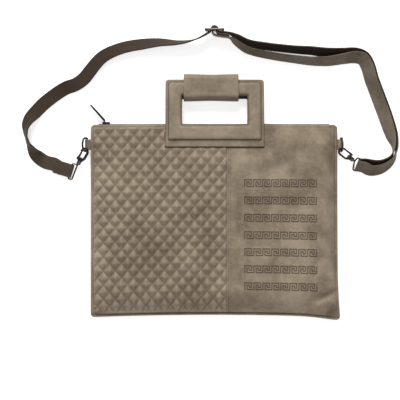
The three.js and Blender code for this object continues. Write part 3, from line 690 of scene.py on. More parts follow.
    def soft(self, x: float, y: float) -> float:
        """Works out the slight waves of the leather, which stop where the handle holds it flat.

        Args:
            x, y: the place, in millimetres.

        Returns:
            The height that they add.
        """
        margin = 6.0
        if abs(x - self.handle_x) < self.handle_half + margin and y > self.handle_low - margin:
            return 0.0
        wave = sum(high * noise.noise(Vector((x / long, y / long, seed)))
                   for high, long, seed in self.waves)
        return wave * smooth_step(self.edge(x, y) / self.wave_margin)


@dataclass(frozen=True)
class Quilt:
    """The quilting: pillows with pyramid tops between heat-pressed diagonal valleys."""

    wide: float = 17.75
    high: float = 20.7
    peak_x: float = -169.8
    peak_y: float = 92.7
    puff: float = 4.9
    pyramid: float = 0.4
    valley_half: float = 0.08

    def across_pillow(self, x: float, y: float) -> tuple[float, float]:
        """Measures how far a place is from its pillow's two middle lines.

        Args:
            x, y: the place, in millimetres.

        Returns:
            The share of the way from each to the valley: 0 on the line, 1 in the valley.
        """
        u, v = (x - self.peak_x) / self.wide, (y - self.peak_y) / self.high
        s, q = u + v, u - v
        return 2 * abs(s - round(s)), 2 * abs(q - round(q))

    def height(self, x: float, y: float) -> float:
        """Works out a pillow's height above the valleys: part pyramid, part dome.

        Args:
            x, y: the place, in millimetres.

        Returns:
            The height.
        """
        a, b = self.across_pillow(x, y)
        dome = (1 - a * a) * (1 - b * b)
        return self.puff * (self.pyramid * (1 - max(a, b)) + (1 - self.pyramid) * dome)

    def valley(self, x: float, y: float) -> float:
        """Returns 1 on the pressed line of a valley and 0 beside it."""
        return bell(1 - max(self.across_pillow(x, y)), self.valley_half)


@dataclass(frozen=True)
class Fret:
    """Seven rows of a running key pattern, pressed into the smooth panel with a heated die."""

    left: float = 43.6
    cell: float = 1.62
    repeats: int = 8
    period: int = 8
    high: int = 7
    tops: tuple[float, ...] = (59.7, 34.3, 8.7, -16.6, -41.5, -66.5, -91.4)
    wall: float = 0.16
    depth: float = 0.62
    turns: tuple[tuple[int, int], ...] = (
        (0, 0), (0, 3), (3, 3), (3, 1), (2, 1), (2, 2), (1, 2), (1, 0), (4, 0))

    def strokes(self) -> set[tuple[int, int]]:
        """Lists the pressed cells of one repeat.

        Returns:
            Their columns and rows, from the repeat's lower left.
        """
        cells: set[tuple[int, int]] = set()
        for (a, b), (c, d) in zip(self.turns, self.turns[1:]):
            steps = 2 * max(abs(c - a), abs(d - b))
            for k in range(steps + 1):
                cells.add((2 * a + round(2 * (c - a) * k / steps), 2 * b + round(2 * (d - b) * k / steps)))
        return cells

    def columns(self) -> list[float]:
        """Returns the grid lines across the rows, two at each side of a stroke."""
        return self.walls(self.left + self.cell * k for k in range(self.period * self.repeats + 2))

    def rows(self) -> list[float]:
        """Returns the grid lines up the panel."""
        return self.walls(top - self.cell * k for top in self.tops for k in range(self.high + 1))

    def walls(self, lines: Iterable[float]) -> list[float]:
        """Returns each line as two, at either side of a stroke's steep wall."""
        return sorted(line + side for line in lines for side in (-self.wall / 2, self.wall / 2))

    def pressed(self) -> Height:
        """Makes the function that tells pressed places from the rest.

        Returns:
            A function of a place that is 1 in the strokes and 0 elsewhere.
        """
        strokes = self.strokes()

        def in_stroke(x: float, y: float) -> float:
            """Tells whether a place is pressed.

            Args:
                x, y: the place, in millimetres.

            Returns:
                1 in a stroke and 0 elsewhere.
            """
            column = math.floor((x - self.left) / self.cell)
            if not 0 <= column <= self.period * self.repeats:
                return 0.0
            place_in = column % self.period
            for top in self.tops:
                row = math.floor((y - top) / self.cell) + self.high
                if 0 <= row < self.high:
                    # The last column of a repeat is the first one of the next
                    joined = place_in == 0 and (self.period, row) in strokes
                    return float((place_in, row) in strokes or joined)
            return 0.0

        return in_stroke


def grid_lines(low: float, high: float, step: float, origin: float,
               low_edge: bool = True, high_edge: bool = True) -> list[float]:
    """Spaces grid lines evenly through an origin, with close lines at the turned edges.

    Args:
        low, high: the ends.
        step: the spacing.
        origin: a place that a line passes through.
        low_edge, high_edge: whether that end is a turned edge with a seam line.

    Returns:
        The lines, from low to high.
    """
    close = (0.0, 0.45, 1.0, 1.8, 2.6, 3.2, 3.6, 4.0, 4.4, 5.0)
    seam = (0.0, 0.5, 1.1, 1.9)
    first = [low + d for d in (close if low_edge else seam)]
    last = [high - d for d in (close if high_edge else seam)]
    room = step * 0.4
    line = origin + step * math.ceil((first[-1] + room - origin) / step)
    middle = []
    while line < last[-1] - room:
        middle.append(line)
        line += step
    return first + middle + last[::-1]


@dataclass
class Panels:
    """The bag's body: a quilted and a smooth front, sewn together, and a smooth back."""

    form: BagForm
    leather: Material
    quilted: Material
    thread: Material
    quilt: Quilt = field(default_factory=Quilt)
    fret: Fret = field(default_factory=Fret)
    seam_x: float = 20.5
    seam_reach: float = 1.9
    seam_drop: float = 0.4
    cells_a_pillow: int = 14
    smooth_cell: float = 2.6
    side_cell: float = 2.4
    back_cell: float = 4.0
    quilted_softness: float = 0.6
    # How dark the valleys (heat burnish and painted shade), the pressed pattern, and the hem and middle seam
    # lines (painted shade in their grooves) are painted
    valley_burnish_and_shade: float = 0.42
    pattern_mark: float = 0.75
    hem_shade: float = 0.6
    seam_shade: float = 0.1
    stitch_xs: tuple[float, float] = (17.9, 23.6)
    stitches_a_row: int = 58
    thread_radius: float = 0.42

    def sheet(self, name: str, xs: Sequence[float], ys: Sequence[float], face: Height,
              marks: Height, outwards: float) -> Piece:
        """Makes one leather sheet, thickened inwards from its outer face.

        Args:
            name: the piece's name.
            xs, ys: the grid lines.
            face: the outer face's height.
            marks: how dark the leather is painted, from 0 to 1: burnish, the pressed pattern and painted
                shade.
            outwards: 1 where the outer face looks up, -1 where it looks down.

        Returns:
            The new object.
        """
        obj = grid(name, len(xs) - 1, len(ys) - 1)
        place(obj, ((*self.form.in_plan(x, y), face(x, y)) for y in ys for x in xs))
        paint(obj, "pressed", (marks(x, y) for y in ys for x in xs))
        outer = len(obj.data.vertices)
        modify(obj, "SOLIDIFY", thickness=self.form.leather * MM, offset=-outwards)
        paint(obj, "inside", (float(k >= outer) for k in range(len(obj.data.vertices))))
        shade(outside_out(obj), 60)
        return obj

    def middle_seam(self, x: float) -> float:
        """Returns the drop of a front panel at the seam between the two."""
        near = max(0.0, 1 - abs(x - self.seam_x) / self.seam_reach)
        return -self.seam_drop * near * near

    def wear_and_shade(self, x: float, y: float) -> float:
        """Returns how dark either front panel is painted: glue and painted shade along the handle, and
        painted shade in the hem and seam lines and in the dents.
        """
        return (self.hem_shade * self.form.hem_line(x, y) + self.beside_handle(x, y)
                + self.seam_shade * bell(x - self.seam_x, 0.5) + self.form.dent_shade(x, y))

    def beside_handle(self, x: float, y: float) -> float:
        """Darkens the line of glue and shade along the front handle's lower edge.

        Args:
            x, y: the place, in millimetres.

        Returns:
            The line's strength, from 0 to 1.
        """
        past, fade, below, reach = 0.6, 0.8, 0.8, 1.5
        wide = smooth_step((self.form.handle_half + past - abs(x - self.form.handle_x)) / fade)
        return wide * bell(y - self.form.handle_low + below, reach)

    def under_handle(self, x: float, y: float) -> float:
        """Returns 1 where the front handle lies on the panel and 0 elsewhere."""
        beside = abs(x - self.form.handle_x) - self.form.handle_half
        return smooth_step(1 - max(beside, self.form.handle_low - y) / 1.6)

    def quilted_panel(self) -> Piece:
        """Makes the quilted front, whose grid follows the quilting.

        Returns:
            The new object.
        """
        form, quilt = self.form, self.quilt
        step_x, step_y = quilt.wide / self.cells_a_pillow, quilt.high / self.cells_a_pillow
        xs = grid_lines(-form.width / 2, self.seam_x, step_x, quilt.peak_x, high_edge=False)
        ys = grid_lines(-form.height / 2, form.height / 2, step_y, quilt.peak_y)
        ys = sorted({*ys, *form.handle_lines()})
        # The quilting stops short of the turned edge, more so at the hem and less so at the seam
        margin, hem_extra, seam_less, fade = 4.4, 3.0, 2.2, 1.4

        def amount(x: float, y: float) -> float:
            """Fades the quilting out towards the panel's edges and under the handle.

            Args:
                x, y: the place, in millimetres.

            Returns:
                The share of its height that is left.
            """
            inner = min(form.width / 2 + x, form.height / 2 - y, form.height / 2 + y - hem_extra,
                        self.seam_x - x + seam_less)
            return smooth_step((inner - margin) / fade) * (1 - self.under_handle(x, y))

        def face(x: float, y: float) -> float:
            """Returns the height of the panel's outer face."""
            return (form.front(x, y) + form.soft(x, y) * self.quilted_softness + form.rolled(x, y)
                    + quilt.height(x, y) * amount(x, y) + self.middle_seam(x))

        def marks(x: float, y: float) -> float:
            """Returns how dark the panel's outer face is marked."""
            # Valleys are painted darker, partly as heat burnish and partly as painted shade in their creases
            return min(1.0, self.valley_burnish_and_shade * quilt.valley(x, y) * amount(x, y) + self.wear_and_shade(x, y))

        return self.sheet("quilted_front", xs, ys, face, marks, 1)

    def smooth_panel(self) -> Piece:
        """Makes the smooth front with its pressed pattern.

        Returns:
            The new object.
        """
        form, fret = self.form, self.fret
        columns, rows = fret.columns(), fret.rows()
        cell, before, after = self.smooth_cell, 1.0, 1.5
        # The lines between the pattern and the edges, without the close ones beside the pattern
        left = grid_lines(self.seam_x + 0.3, columns[0] - before, cell, self.seam_x, False, False)[:-4]
        right = grid_lines(columns[-1] + after, form.width / 2, self.side_cell, columns[-1], False)[2:]
        gaps = [line for low, high in zip(fret.tops[1:], fret.tops)
                for line in evenly(low, high - fret.high * fret.cell, 5)[1:-1]]
        low = grid_lines(-form.height / 2, rows[0] - before, cell, 0.0, high_edge=False)[:-3]
        high = grid_lines(rows[-1] + after, form.height / 2, cell, 0.0, False)[2:]
        xs = [*left, *columns, *right]
        ys = sorted({*low, *rows, *gaps, *high, *form.handle_lines()})
        pressed = fret.pressed()
        # The seam's thread puckers the leather beside it, every 7 mm or so
        high_pucker, pucker_x, pucker_reach, per_mm, drift = 0.16, self.seam_x + 3.5, 4.0, 0.9, 0.23

        def face(x: float, y: float) -> float:
            """Works out the panel's outer face.

            Args:
                x, y: the place, in millimetres.

            Returns:
                Its height.
            """
            pucker = (high_pucker * bell(x - pucker_x, pucker_reach)
                      * math.sin(y * per_mm + 2 * math.sin(y * drift)))
            return (form.front(x, y) + form.soft(x, y) + form.rolled(x, y) + self.middle_seam(x)
                    - fret.depth * pressed(x, y) + pucker * (1 - self.under_handle(x, y)))

        def marks(x: float, y: float) -> float:
            """Returns how dark the panel's outer face is marked."""
            return min(1.0, self.pattern_mark * pressed(x, y) + self.wear_and_shade(x, y))

        return self.sheet("smooth_front", xs, ys, face, marks, 1)

    def back_panel(self) -> Piece:
        """Makes the smooth back that the bag lies on.

        Returns:
            The new object.
        """
        form = self.form
        xs = grid_lines(-form.width / 2, form.width / 2, self.back_cell, 0.0)
        ys = grid_lines(-form.height / 2, form.height / 2, self.back_cell, 0.0)
        seam_in = 3.9

        def face(x: float, y: float) -> float:
            """Returns the height of the panel's outer face."""
            seam = bell(form.edge(x, y) - seam_in, 0.75) * smooth_step(form.back(x, y) / 2)
            return form.back(x, y) + 0.6 * seam

        def marks(x: float, y: float) -> float:
            """Returns how dark the panel's outer face is marked."""
            # Painted shade in the seam's groove
            return 0.7 * bell(form.edge(x, y) - seam_in, 0.7)

        return self.sheet("smooth_back", xs, ys, face, marks, -1)

    def stitches(self) -> Piece:
        """Makes the two rows of stitches beside the front's middle seam.

        Returns:
            The new object.
        """
        form = self.form
        # Of a stitch's eight steps, five lie on the leather and three dip through it
        steps, on_top, above, dip = 8, 5, 0.3, -0.7
        ys = evenly(-form.height / 2 + 7, form.handle_low - 2, steps * self.stitches_a_row)
        section = arc(self.thread_radius, 0, 4, 6)[:-1]
        lines = []
        for x in self.stitch_xs:
            softness = self.quilted_softness if x < self.seam_x else 1.0
            rings = []
            for k, y in enumerate(ys):
                px, py = form.in_plan(x, y)
                pz = form.front(x, y) + form.soft(x, y) * softness + (above if k % steps < on_top else dip)
                rings.append([(px + u, py, pz + v) for u, v in section])
            lines.append(skin("seam_stitches", rings))
        obj = join("seam_stitches", lines)
        shade(obj, 60)
        return obj

    def build(self) -> None:
        """Builds and dresses the body."""
        quilted = self.quilted_panel()
        dress(quilted, self.quilted, "quilted_leather", "bag", "quilted_panel")
        dress(self.smooth_panel(), self.leather, "smooth_leather", "bag", "smooth_panel")
        dress(self.back_panel(), self.leather, "smooth_leather", "bag", "back_panel")
        dress(self.stitches(), self.thread, "smooth_leather", "bag")


def frame_outline(x0: float, y0: float, x1: float, y1: float, r: float, low: float,
                  across: int = 24, up: int = 16, corner: int = 6) -> list[tuple[float, float]]:
    """Lists points round a rounded rectangle, from its lower left, anticlockwise.

    Args:
        x0, y0, x1, y1: its sides.
        r: its upper corners' radius.
        low: its lower corners' radius.
        across, up, corner: steps along a level side, an upright side and a corner.

    Returns:
        The points, the first not repeated.
    """
    points: list[tuple[float, float]] = []
    sides = (((x0 + low, y0), (x1 - low, y0), across, (x1 - low, y0 + low), -1, low),
             ((x1, y0 + low), (x1, y1 - r), up, (x1 - r, y1 - r), 0, r),
             ((x1 - r, y1), (x0 + r, y1), across, (x0 + r, y1 - r), 1, r),
             ((x0, y1 - r), (x0, y0 + low), up, (x0 + low, y0 + low), 2, low))
    for (ax, ay), (bx, by), count, (cx, cy), turn, radius in sides:
        points += [(ax + (bx - ax) * k / count, ay + (by - ay) * k / count) for k in range(count)]
        points += [(cx + u, cy + v) for u, v in arc(radius, turn, turn + 1, corner)[:-1]]
    return points


@dataclass
class Handles:
    """Two flat leather frames, each a base and a padded face, and the sleeve round their tops."""

    leather: Material
    form: BagForm
    height: float = 99.0
    hole_half: float = 47.5
    flange: float = 10.0
    low_bar: float = 22.0
    top_bar: float = 24.0
    margin: float = 4.0
    base: float = 2.0
    pad: float = 3.7
    corner: float = 5.0
    low_corner: float = 1.3
    hole_corner: float = 2.0
    glue: float = 0.3
    sleeve_half: float = 40.0
    sleeve_x: float = -4.2
    sleeve_reach: float = 18.0
    sleeve_wall: float = 2.0
    sleeve_room: float = 4.3
    sleeve_waist: float = 0.045

    def frame(self, name: str, inset: float, low: float, outer: Sequence[tuple[float, float, float]],
              inner: Sequence[tuple[float, float, float]], lip: float,
              painted_shadow: float = 0.0) -> Piece:
        """Makes one closed frame from the profiles of its two edges.

        Args:
            name: the piece's name.
            inset: how far its outline lies inside the handle's.
            low: its lower edge's place above the handle's.
            outer: rows of (way in from the outline, height, darkening), from its underside up; the darkening
                is edge paint and painted shade.
            inner: the same from the hole's edge.
            lip: how much wider its hole is than the handle's.
            painted_shadow: 1 where its face is painted dark as shadow, with the leather's inside colour.

        Returns:
            The frame, lying flat with the handle's lower edge on y = 0.
        """
        half = self.form.handle_half - inset
        outside = frame_outline(-half, low, half, self.height - inset, self.corner, self.low_corner)
        hole_low, hole_high = self.flange + self.low_bar - lip, self.height - self.top_bar + lip
        hole = frame_outline(-self.hole_half - lip, hole_low, self.hole_half + lip, hole_high,
                             self.hole_corner, self.hole_corner)
        rings = []
        for (ax, ay), (bx, by) in zip(outside, hole):
            long = math.hypot(bx - ax, by - ay)
            ux, uy = (bx - ax) / long, (by - ay) / long
            rings.append([(ax + ux * d, ay + uy * d, z) for d, z, _ in outer]
                         + [(bx - ux * d, by - uy * d, z) for d, z, _ in reversed(inner)])
        edge_paint_and_shade = [mark for _, _, mark in (*outer, *reversed(inner))]
        marks = {"pressed": edge_paint_and_shade, "inside": [painted_shadow] * len(edge_paint_and_shade)}
        obj = skin(name, rings, closed=True, marks=marks)
        shade(obj, 50)
        return obj

    def base_piece(self, name: str, painted_shadow: float) -> Piece:
        """Makes a handle's flat base.

        Args:
            name: the piece's name.
            painted_shadow: 1 where it is painted dark as shadow, with the leather's inside colour.

        Returns:
            The new object.
        """
        t = self.base
        # The cut edge is painted dark, partly as edge paint and partly as painted shadow under the base
        edge = ((0.5, 0.0, 1), (0.12, 0.15, 1), (0.0, 0.5, 1), (0.0, t - 0.9, 1), (0.3, t - 0.4, 0.9),
                (0.8, t - 0.1, 0.25), (1.5, t, 0.1), (3.0, t, 0.12))
        return self.frame(name, 0.0, 0.0, edge, edge, 0.0, painted_shadow)

    def pad_piece(self, name: str) -> Piece:
        """Makes a handle's padded face, which rolls over at its edges.

        Args:
            name: the piece's name.

        Returns:
            The new object.
        """
        t = self.pad
        # The rolled-under edges are painted dark as shade
        outer = ((0.9, 0.0, 1), (0.2, 0.2, 1), (0.0, 0.6, 1), (0.35, 1.0, 1), (0.8, 1.4, 0.8),
                 (1.2, 2.0, 0.25), (1.7, 2.6, 0.08), (2.6, 3.1, 0), (3.8, 3.45, 0), (5.6, t - 0.04, 0),
                 (8.0, t, 0))
        inner = ((0.6, 0.0, 1), (0.1, 0.3, 1), (0.0, 0.9, 0.8), (0.3, 1.5, 0.4), (1.1, 2.3, 0.2),
                 (2.2, 2.95, 0.1), (3.6, 3.4, 0), (5.4, t - 0.05, 0), (7.0, t, 0))
        obj = self.frame(name, self.margin, self.flange, outer, inner, 1.0)
        # The padded face is slightly uneven, and the whole pad sits a little into its glue
        wave, high, seed, sunk = 14 * MM, 0.22 * MM, 3.3, 0.1 * MM
        for vertex in obj.data.vertices:
            soft = high * noise.noise(Vector((vertex.co.x / wave, vertex.co.y / wave, seed)))
            vertex.co.z += soft * smooth_step(vertex.co.z / MM - 2.5) - sunk
        return obj

    def placed(self, obj: Piece, z: float, place_at: Point, tilt: float,
               turned: bool) -> Piece:
        """Moves a flat piece to its place on the bag and applies the move.

        Args:
            obj: the piece.
            z: its height in the handle.
            place_at: where the handle's lower edge sits.
            tilt: the handle's tilt about X in radians.
            turned: whether its face looks down.

        Returns:
            The piece.
        """
        flip = Matrix.Diagonal((1, 1, -1, 1)) if turned else Matrix.Identity(4)
        move = Matrix.Translation(Vector(place_at) * MM) @ Matrix.Rotation(tilt, 4, "X")
        obj.data.transform(move @ Matrix.Translation((0, 0, z * MM)) @ flip)
        return outside_out(obj) if turned else obj

    def sleeve(self) -> Piece:
        """Makes the sleeve: a flattened, slightly waisted tube round both top bars.

        Returns:
            The new object.
        """
        form, reach, wall, half = self.form, self.sleeve_reach, self.sleeve_wall, self.sleeve_half
        # Places round the bars, as shares of the reach and of the height between the handles' faces
        table = ((-1, 0.35), (-0.93, 0), (-0.3, 0), (0.3, 0), (0.65, 0), (0.9, 0.2), (1, 0.45),
                 (0.95, 0.75), (0.77, 1), (0.3, 1), (-0.3, 1), (-0.7, 1), (-0.92, 0.7))
        bar = form.handle_low + self.height - self.top_bar / 2
        gap, fine = 0.3, 4

        def ring(x: float, thick: float) -> list[Vector]:
            """Works out one section of the sleeve.

            Args:
                x: its place along the sleeve.
                thick: how far it lies outside the sleeve's inner face.

            Returns:
                The section's points.
            """
            points = []
            for along, high in table:
                y = bar + along * reach
                low_z = form.back_handle_plane(y) - gap
                high_z = form.handle_plane(y) + self.base + self.sleeve_room
                waist = 1 - self.sleeve_waist * bell(x, 26) * (abs(along) > 0.6)
                points.append(Vector((x + self.sleeve_x, bar + along * (reach + thick) * waist,
                                      low_z + (high_z - low_z) * high + thick * (2 * high - 1))))
            turns = ([points[(k + m) % len(points)] for m in (-1, 0, 1, 2)] for k in range(len(points)))
            return [hermite(b, c, (c - a) / 2, (d - b) / 2, t / fine)
                    for a, b, c, d in turns for t in range(fine)]

        # Both ends roll from the outer face to the inner one: how far in, and how thick there
        rolls = ((0.1, wall - 0.4), (0.0, wall / 2), (0.2, 0.3))
        rings = [ring(x, wall) for x in evenly(-half + 0.5, half - 0.5, 32)]
        rings += [ring(half - back, thick) for back, thick in rolls]
        rings += [ring(x, 0.0) for x in (half - 1, 0.0, -half + 1)]
        rings += [ring(back - half, thick) for back, thick in reversed(rolls)]
        # Painted shade along the lower front edge, where the sleeve's seam is closed and it turns down, and
        # along its fold below
        burnish_and_shade = [min(0.95, 0.9 * (bell(k - 4 * 12.6, 3.2) + 0.9 * bell(k, 5.0) + 0.9 * bell(k - 52, 5.0)))
                 for k in range(fine * len(table))]
        obj = skin("grip_sleeve_leather", rings, closed=True, marks={"pressed": burnish_and_shade})
        wave, high, seed = 16 * MM, 0.25 * MM, 8.0
        for vertex in obj.data.vertices:
            vertex.co.z += high * noise.noise(Vector((vertex.co.x / wave, vertex.co.y / wave, seed)))
        shade(obj, 70)
        return obj

    def build(self) -> None:
        """Builds and dresses both handles and the sleeve."""
        form = self.form
        front = ((form.handle_x, form.handle_low, form.handle_z), -math.atan(form.handle_slope))
        back = ((form.handle_x, form.handle_low - form.back_handle_drop, 0.0),
                math.atan(form.back_handle_slope))
        # The back handle's base is painted dark all over, as the shadow seen through the front handle's hole
        sides = (("front", 0.0, 0.0, self.base + self.glue, False, front),
                 ("back", 1.0, self.pad + self.glue, self.pad, True, back))
        for side, painted_shadow, base_z, pad_z, turned, (where, tilt) in sides:
            base = self.placed(self.base_piece(f"{side}_handle_leather", painted_shadow), base_z, where, tilt, False)
            dress(base, self.leather, "handle_leather", "bag", f"{side}_handle_base")
            pad = self.placed(self.pad_piece(f"{side}_handle_padding"), pad_z, where, tilt, turned)
            dress(pad, self.leather, "handle_leather", "bag", f"{side}_handle_pad")
        dress(self.sleeve(), self.leather, "handle_leather", "bag", "grip_sleeve")


class Side(Enum):
    """The bag's two sides, as the sign of X."""

    LEFT = -1
    RIGHT = 1


@dataclass(frozen=True)
class HookSetting:
    """How a hook and its strap eye lie.

    lean, turn, drop, eye_turn and eye_lean are in degrees, eye_shift is a share of the eye's width, and
    run is 1 where the strap leaves the eye and -1 where it comes to it.
    """

    side: Side
    lean: float
    turn: float
    drop: float
    eye_turn: float
    eye_shift: float
    eye_lean: float
    run: int


LEFT_HOOK = HookSetting(Side.LEFT, 30, 240, 15, 163, 0.46, -90, 1)
RIGHT_HOOK = HookSetting(Side.RIGHT, 8, -37, 11, -17.4, 0.2, -50, -1)


def flat(degrees: float) -> Vector:
    """Returns the level unit direction at that angle from +X."""
    return Vector((math.cos(math.radians(degrees)), math.sin(math.radians(degrees)), 0))


def strap_across(along: Vector, lean: float) -> Vector:
    """Returns the strap's width direction where it runs along a level direction and leans."""
    side = UP.cross(along).normalized()
    return UP * math.cos(math.radians(lean)) + side * math.sin(math.radians(lean))


def swept(name: str, points: Sequence[Vector], normal: Vector, radius: float,
          sides: int = 14) -> Piece:
    """Makes a closed loop of round wire through points in one plane.

    Args:
        name: the piece's name.
        points: the wire's centre line, in millimetres.
        normal: the plane's normal.
        radius: the wire's radius.
        sides: points round the wire.

    Returns:
        The new object.
    """
    rings = []
    for k, p in enumerate(points):
        along = points[(k + 1) % len(points)] - points[k - 1]
        aside = along.cross(normal).normalized()
        rings.append([p + normal * u + aside * v for u, v in arc(radius, 0, 4, sides)[:-1]])
    obj = skin(name, rings, closed=True)
    shade(obj, 60)
    return obj


@dataclass
class Ring:
    """A wire D-ring on its leather tab at one side seam."""

    setting: HookSetting
    metal: Material
    leather: Material
    wire: float = 3.0
    bar: float = 19.0
    leg: float = 6.0
    bow: float = 6.5
    tab_width: float = 15.4
    tab_wall: float = 1.6
    tab_y: float = 111.3
    bar_x: float = 185.0
    bar_z: float = 7.15
    bag_edge: float = 180.0
    corner: float = 1.8
    gap: float = 0.3

    @property
    def side(self) -> str:
        """The side's name, as the pieces' names have it."""
        return self.setting.side.name.lower()

    @property
    def out(self) -> int:
        """The way out of the bag, as the sign of X."""
        return self.setting.side.value

    @property
    def depth(self) -> Vector:
        """The direction from the ring's bar to its bow."""
        lean = math.radians(self.setting.lean)
        return Vector((self.out * math.sin(lean), 0, math.cos(lean)))

    @property
    def normal(self) -> Vector:
        """The normal of the ring's plane."""
        return self.depth.cross(Vector((0, 1, 0))).normalized()

    def at(self, along: float, deep: float) -> Vector:
        """Returns the point of the ring's plane at a place along its bar and a depth from it."""
        return Vector((self.out * self.bar_x, self.tab_y + along, self.bar_z)) + self.depth * deep

    def ring(self) -> Piece:
        """Makes the ring: a straight bar with tight corners, two legs and a bow.

        Returns:
            The new object.
        """
        half, r = self.bar / 2, self.corner
        bar = [(x, 0.0) for x in evenly(-half + r, half - r, 8)]
        corner = [(half - r + x, r + y) for x, y in arc(r, -1, 0, 5)]
        bow = [(half * x, self.leg + self.bow * y) for x, y in arc(1, 0, 2, 28)]
        outline = bar[:-1] + corner + [(half, self.leg / 2)] + bow + [(-half, self.leg / 2)]
        outline += [(-x, y) for x, y in reversed(corner)][:-1]
        return swept(f"{self.side}_ring_wire", [self.at(x, y) for x, y in outline], self.normal,
                     self.wire / 2)

    def tab(self) -> Piece:
        """Makes the leather loop round the ring's bar.

        Returns:
            The new object.
        """
        inner = self.wire / 2 + self.gap
        outer, middle = inner + self.tab_wall, inner + self.tab_wall / 2
        reach = self.bar_x - self.bag_edge - self.gap
        half, pinch = self.tab_width / 2, 0.1
        near, far = -reach * 0.3, -reach * 0.6
        loop = [(-reach, -outer), (far, pinch - outer), (near, pinch - outer), *arc(outer, -1, 1, 14),
                (near, outer - pinch), (far, outer - pinch), (-reach, outer), (-reach, inner),
                *arc(inner, 1, -1, 14), (-reach, -inner)]
        # Places across the tab and how far its cut edge is rounded in there
        cut = ((half, 0.45), (half - 0.15, 0.15), (half - 0.5, 0.0), (half / 2, 0.0))
        places = [*((-y, inset) for y, inset in cut), (0.0, 0.0), *reversed(cut)]
        rings = []
        for y, inset in places:
            ring = []
            bulge = 0.0 if inset == cut[0][1] else 0.06 * math.cos(y)
            for u, v in loop:
                away = math.hypot(max(u, 0.0), v)
                share = inset / away * (1 if away > middle else -1)
                ring.append((self.out * (self.bar_x + u - max(u, 0.0) * share), self.tab_y + y,
                             self.bar_z + v * (1 - share) + bulge))
            rings.append(ring)
        obj = skin(f"{self.side}_tab_leather", rings)
        shade(obj, 40)
        return obj

    def build(self) -> None:
        """Builds and dresses the ring and its tab."""
        dress(self.ring(), self.metal, "gunmetal", "bag", f"{self.side}_d_ring")
        dress(self.tab(), self.leather, "smooth_leather", "bag", f"{self.side}_tab")


@dataclass(frozen=True)
class Eye:
    """The strap's bar in a hook's eye: its middle, direction and the way to it from the hook."""

    centre: Vector
    bar: Vector
    away: Vector

    @classmethod
    def of(cls, ring: Ring, strap_wide: float = 20.0, strap_thick: float = 2.0,
           wire: float = 2.6) -> "Eye":
        """Works out the eye from the ring that its hook hangs in.

        Args:
            ring: the ring.
            strap_wide, strap_thick: the strap's section.
            wire: the eye's wire.

        Returns:
            The eye.
        """
        hook_arm, hook_length, barrel, stud, reach, room, lift = 2.8, 22.0, 5.0, 1.0, 7.5, 0.2, 3.0
        s = ring.setting
        drop = math.radians(s.drop)
        along = flat(s.turn) * math.cos(drop) - UP * math.sin(drop)
        held = ring.at(-ring.bar / 2, ring.leg * 0.9)
        start = held - along * (hook_arm + 2 * ring.gap + ring.wire / 2)
        apex = start + along * (hook_length + barrel + ring.gap + stud + wire / 2)
        away = flat(s.eye_turn)
        bar = strap_across(away * s.run, s.eye_lean)
        centre = apex + away * reach - bar * (s.eye_shift * (strap_wide + 2 * ring.gap + wire))
        upright = abs(bar.z)
        centre.z = (upright * (strap_wide / 2 + lift)
                    + (1 - upright) * (strap_thick + ring.gap + wire / 2) + room)
        return cls(centre, bar, away)


@dataclass(frozen=True)
class Station:
    """A place on the strap's run and the direction of its width there."""

    spot: Vector
    across: Vector


# Across and up in shares of the bag's size, lean in degrees, and lift in shares of the strap's width
LEFT_RUN = (
    (-0.647, 0.294, -88, 0.12), (-0.679, 0.304, -88, 0.05), (-0.703, 0.321, -85, 0), (-0.721, 0.342, -70, 0),
    (-0.736, 0.366, -40, 0), (-0.751, 0.399, -16, 0), (-0.76, 0.435, -12, 0), (-0.763, 0.471, -24, 0),
    (-0.759, 0.505, -45, 0), (-0.746, 0.536, -65, 0), (-0.728, 0.562, -80, 0), (-0.695, 0.606, -88, 0),
    (-0.647, 0.655, -90, 0), (-0.598, 0.694, -90, 0), (-0.562, 0.71, -85, 0), (-0.529, 0.74, -84, 0),
    (-0.501, 0.784, -80, 0), (-0.453, 0.852, -72, 0), (-0.372, 0.899, -62, 0), (-0.291, 0.918, -56, 0),
    (-0.218, 0.927, -38, 0), (-0.154, 0.925, -22, 0), (-0.105, 0.931, -11, 0.09), (-0.069, 0.944, -4, 0.17))
# The same, with the two strands' distance before the outer strand's lift and the inner one's
RIGHT_RUN = (
    (0.089, 0.943, 16, 0.38, 0.17, 0.17), (0.137, 0.906, 25, 0.5, 0.05, 0.05), (0.202, 0.887, 27, 0.6, 0, 0),
    (0.299, 0.869, 28, 0.68, 0, 0), (0.396, 0.857, 33, 0.76, 0, 0), (0.461, 0.852, 40, 0.62, 0, 0),
    (0.525, 0.857, 46, 0.4, 0, 0), (0.574, 0.86, 60, 0.25, 0, 0), (0.606, 0.846, 70, 0.15, 0, 0),
    (0.624, 0.807, 69, 0.12, 0, 0), (0.639, 0.74, 67, 0.12, 0, 0), (0.657, 0.678, 67, 0.12, 0, 0),
    (0.675, 0.616, 68, 0.12, 0, 0), (0.693, 0.554, 66, 0.12, 0, 0), (0.709, 0.492, 56, 0.14, 0, 0),
    (0.721, 0.445, 42, 0.16, 0, 0), (0.731, 0.404, 16, 0.18, 0, 0), (0.733, 0.368, 0, 0.2, 0, 0),
    (0.725, 0.331, -15, 0.23, 0, 0), (0.703, 0.3, -30, 0.28, 0, 0), (0.671, 0.28, -42, 0.36, 0, 0),
    (0.635, 0.277, -49, 0.42, 0.06, 0), (0.608, 0.288, -50, 0.26, 0.17, 0.01))


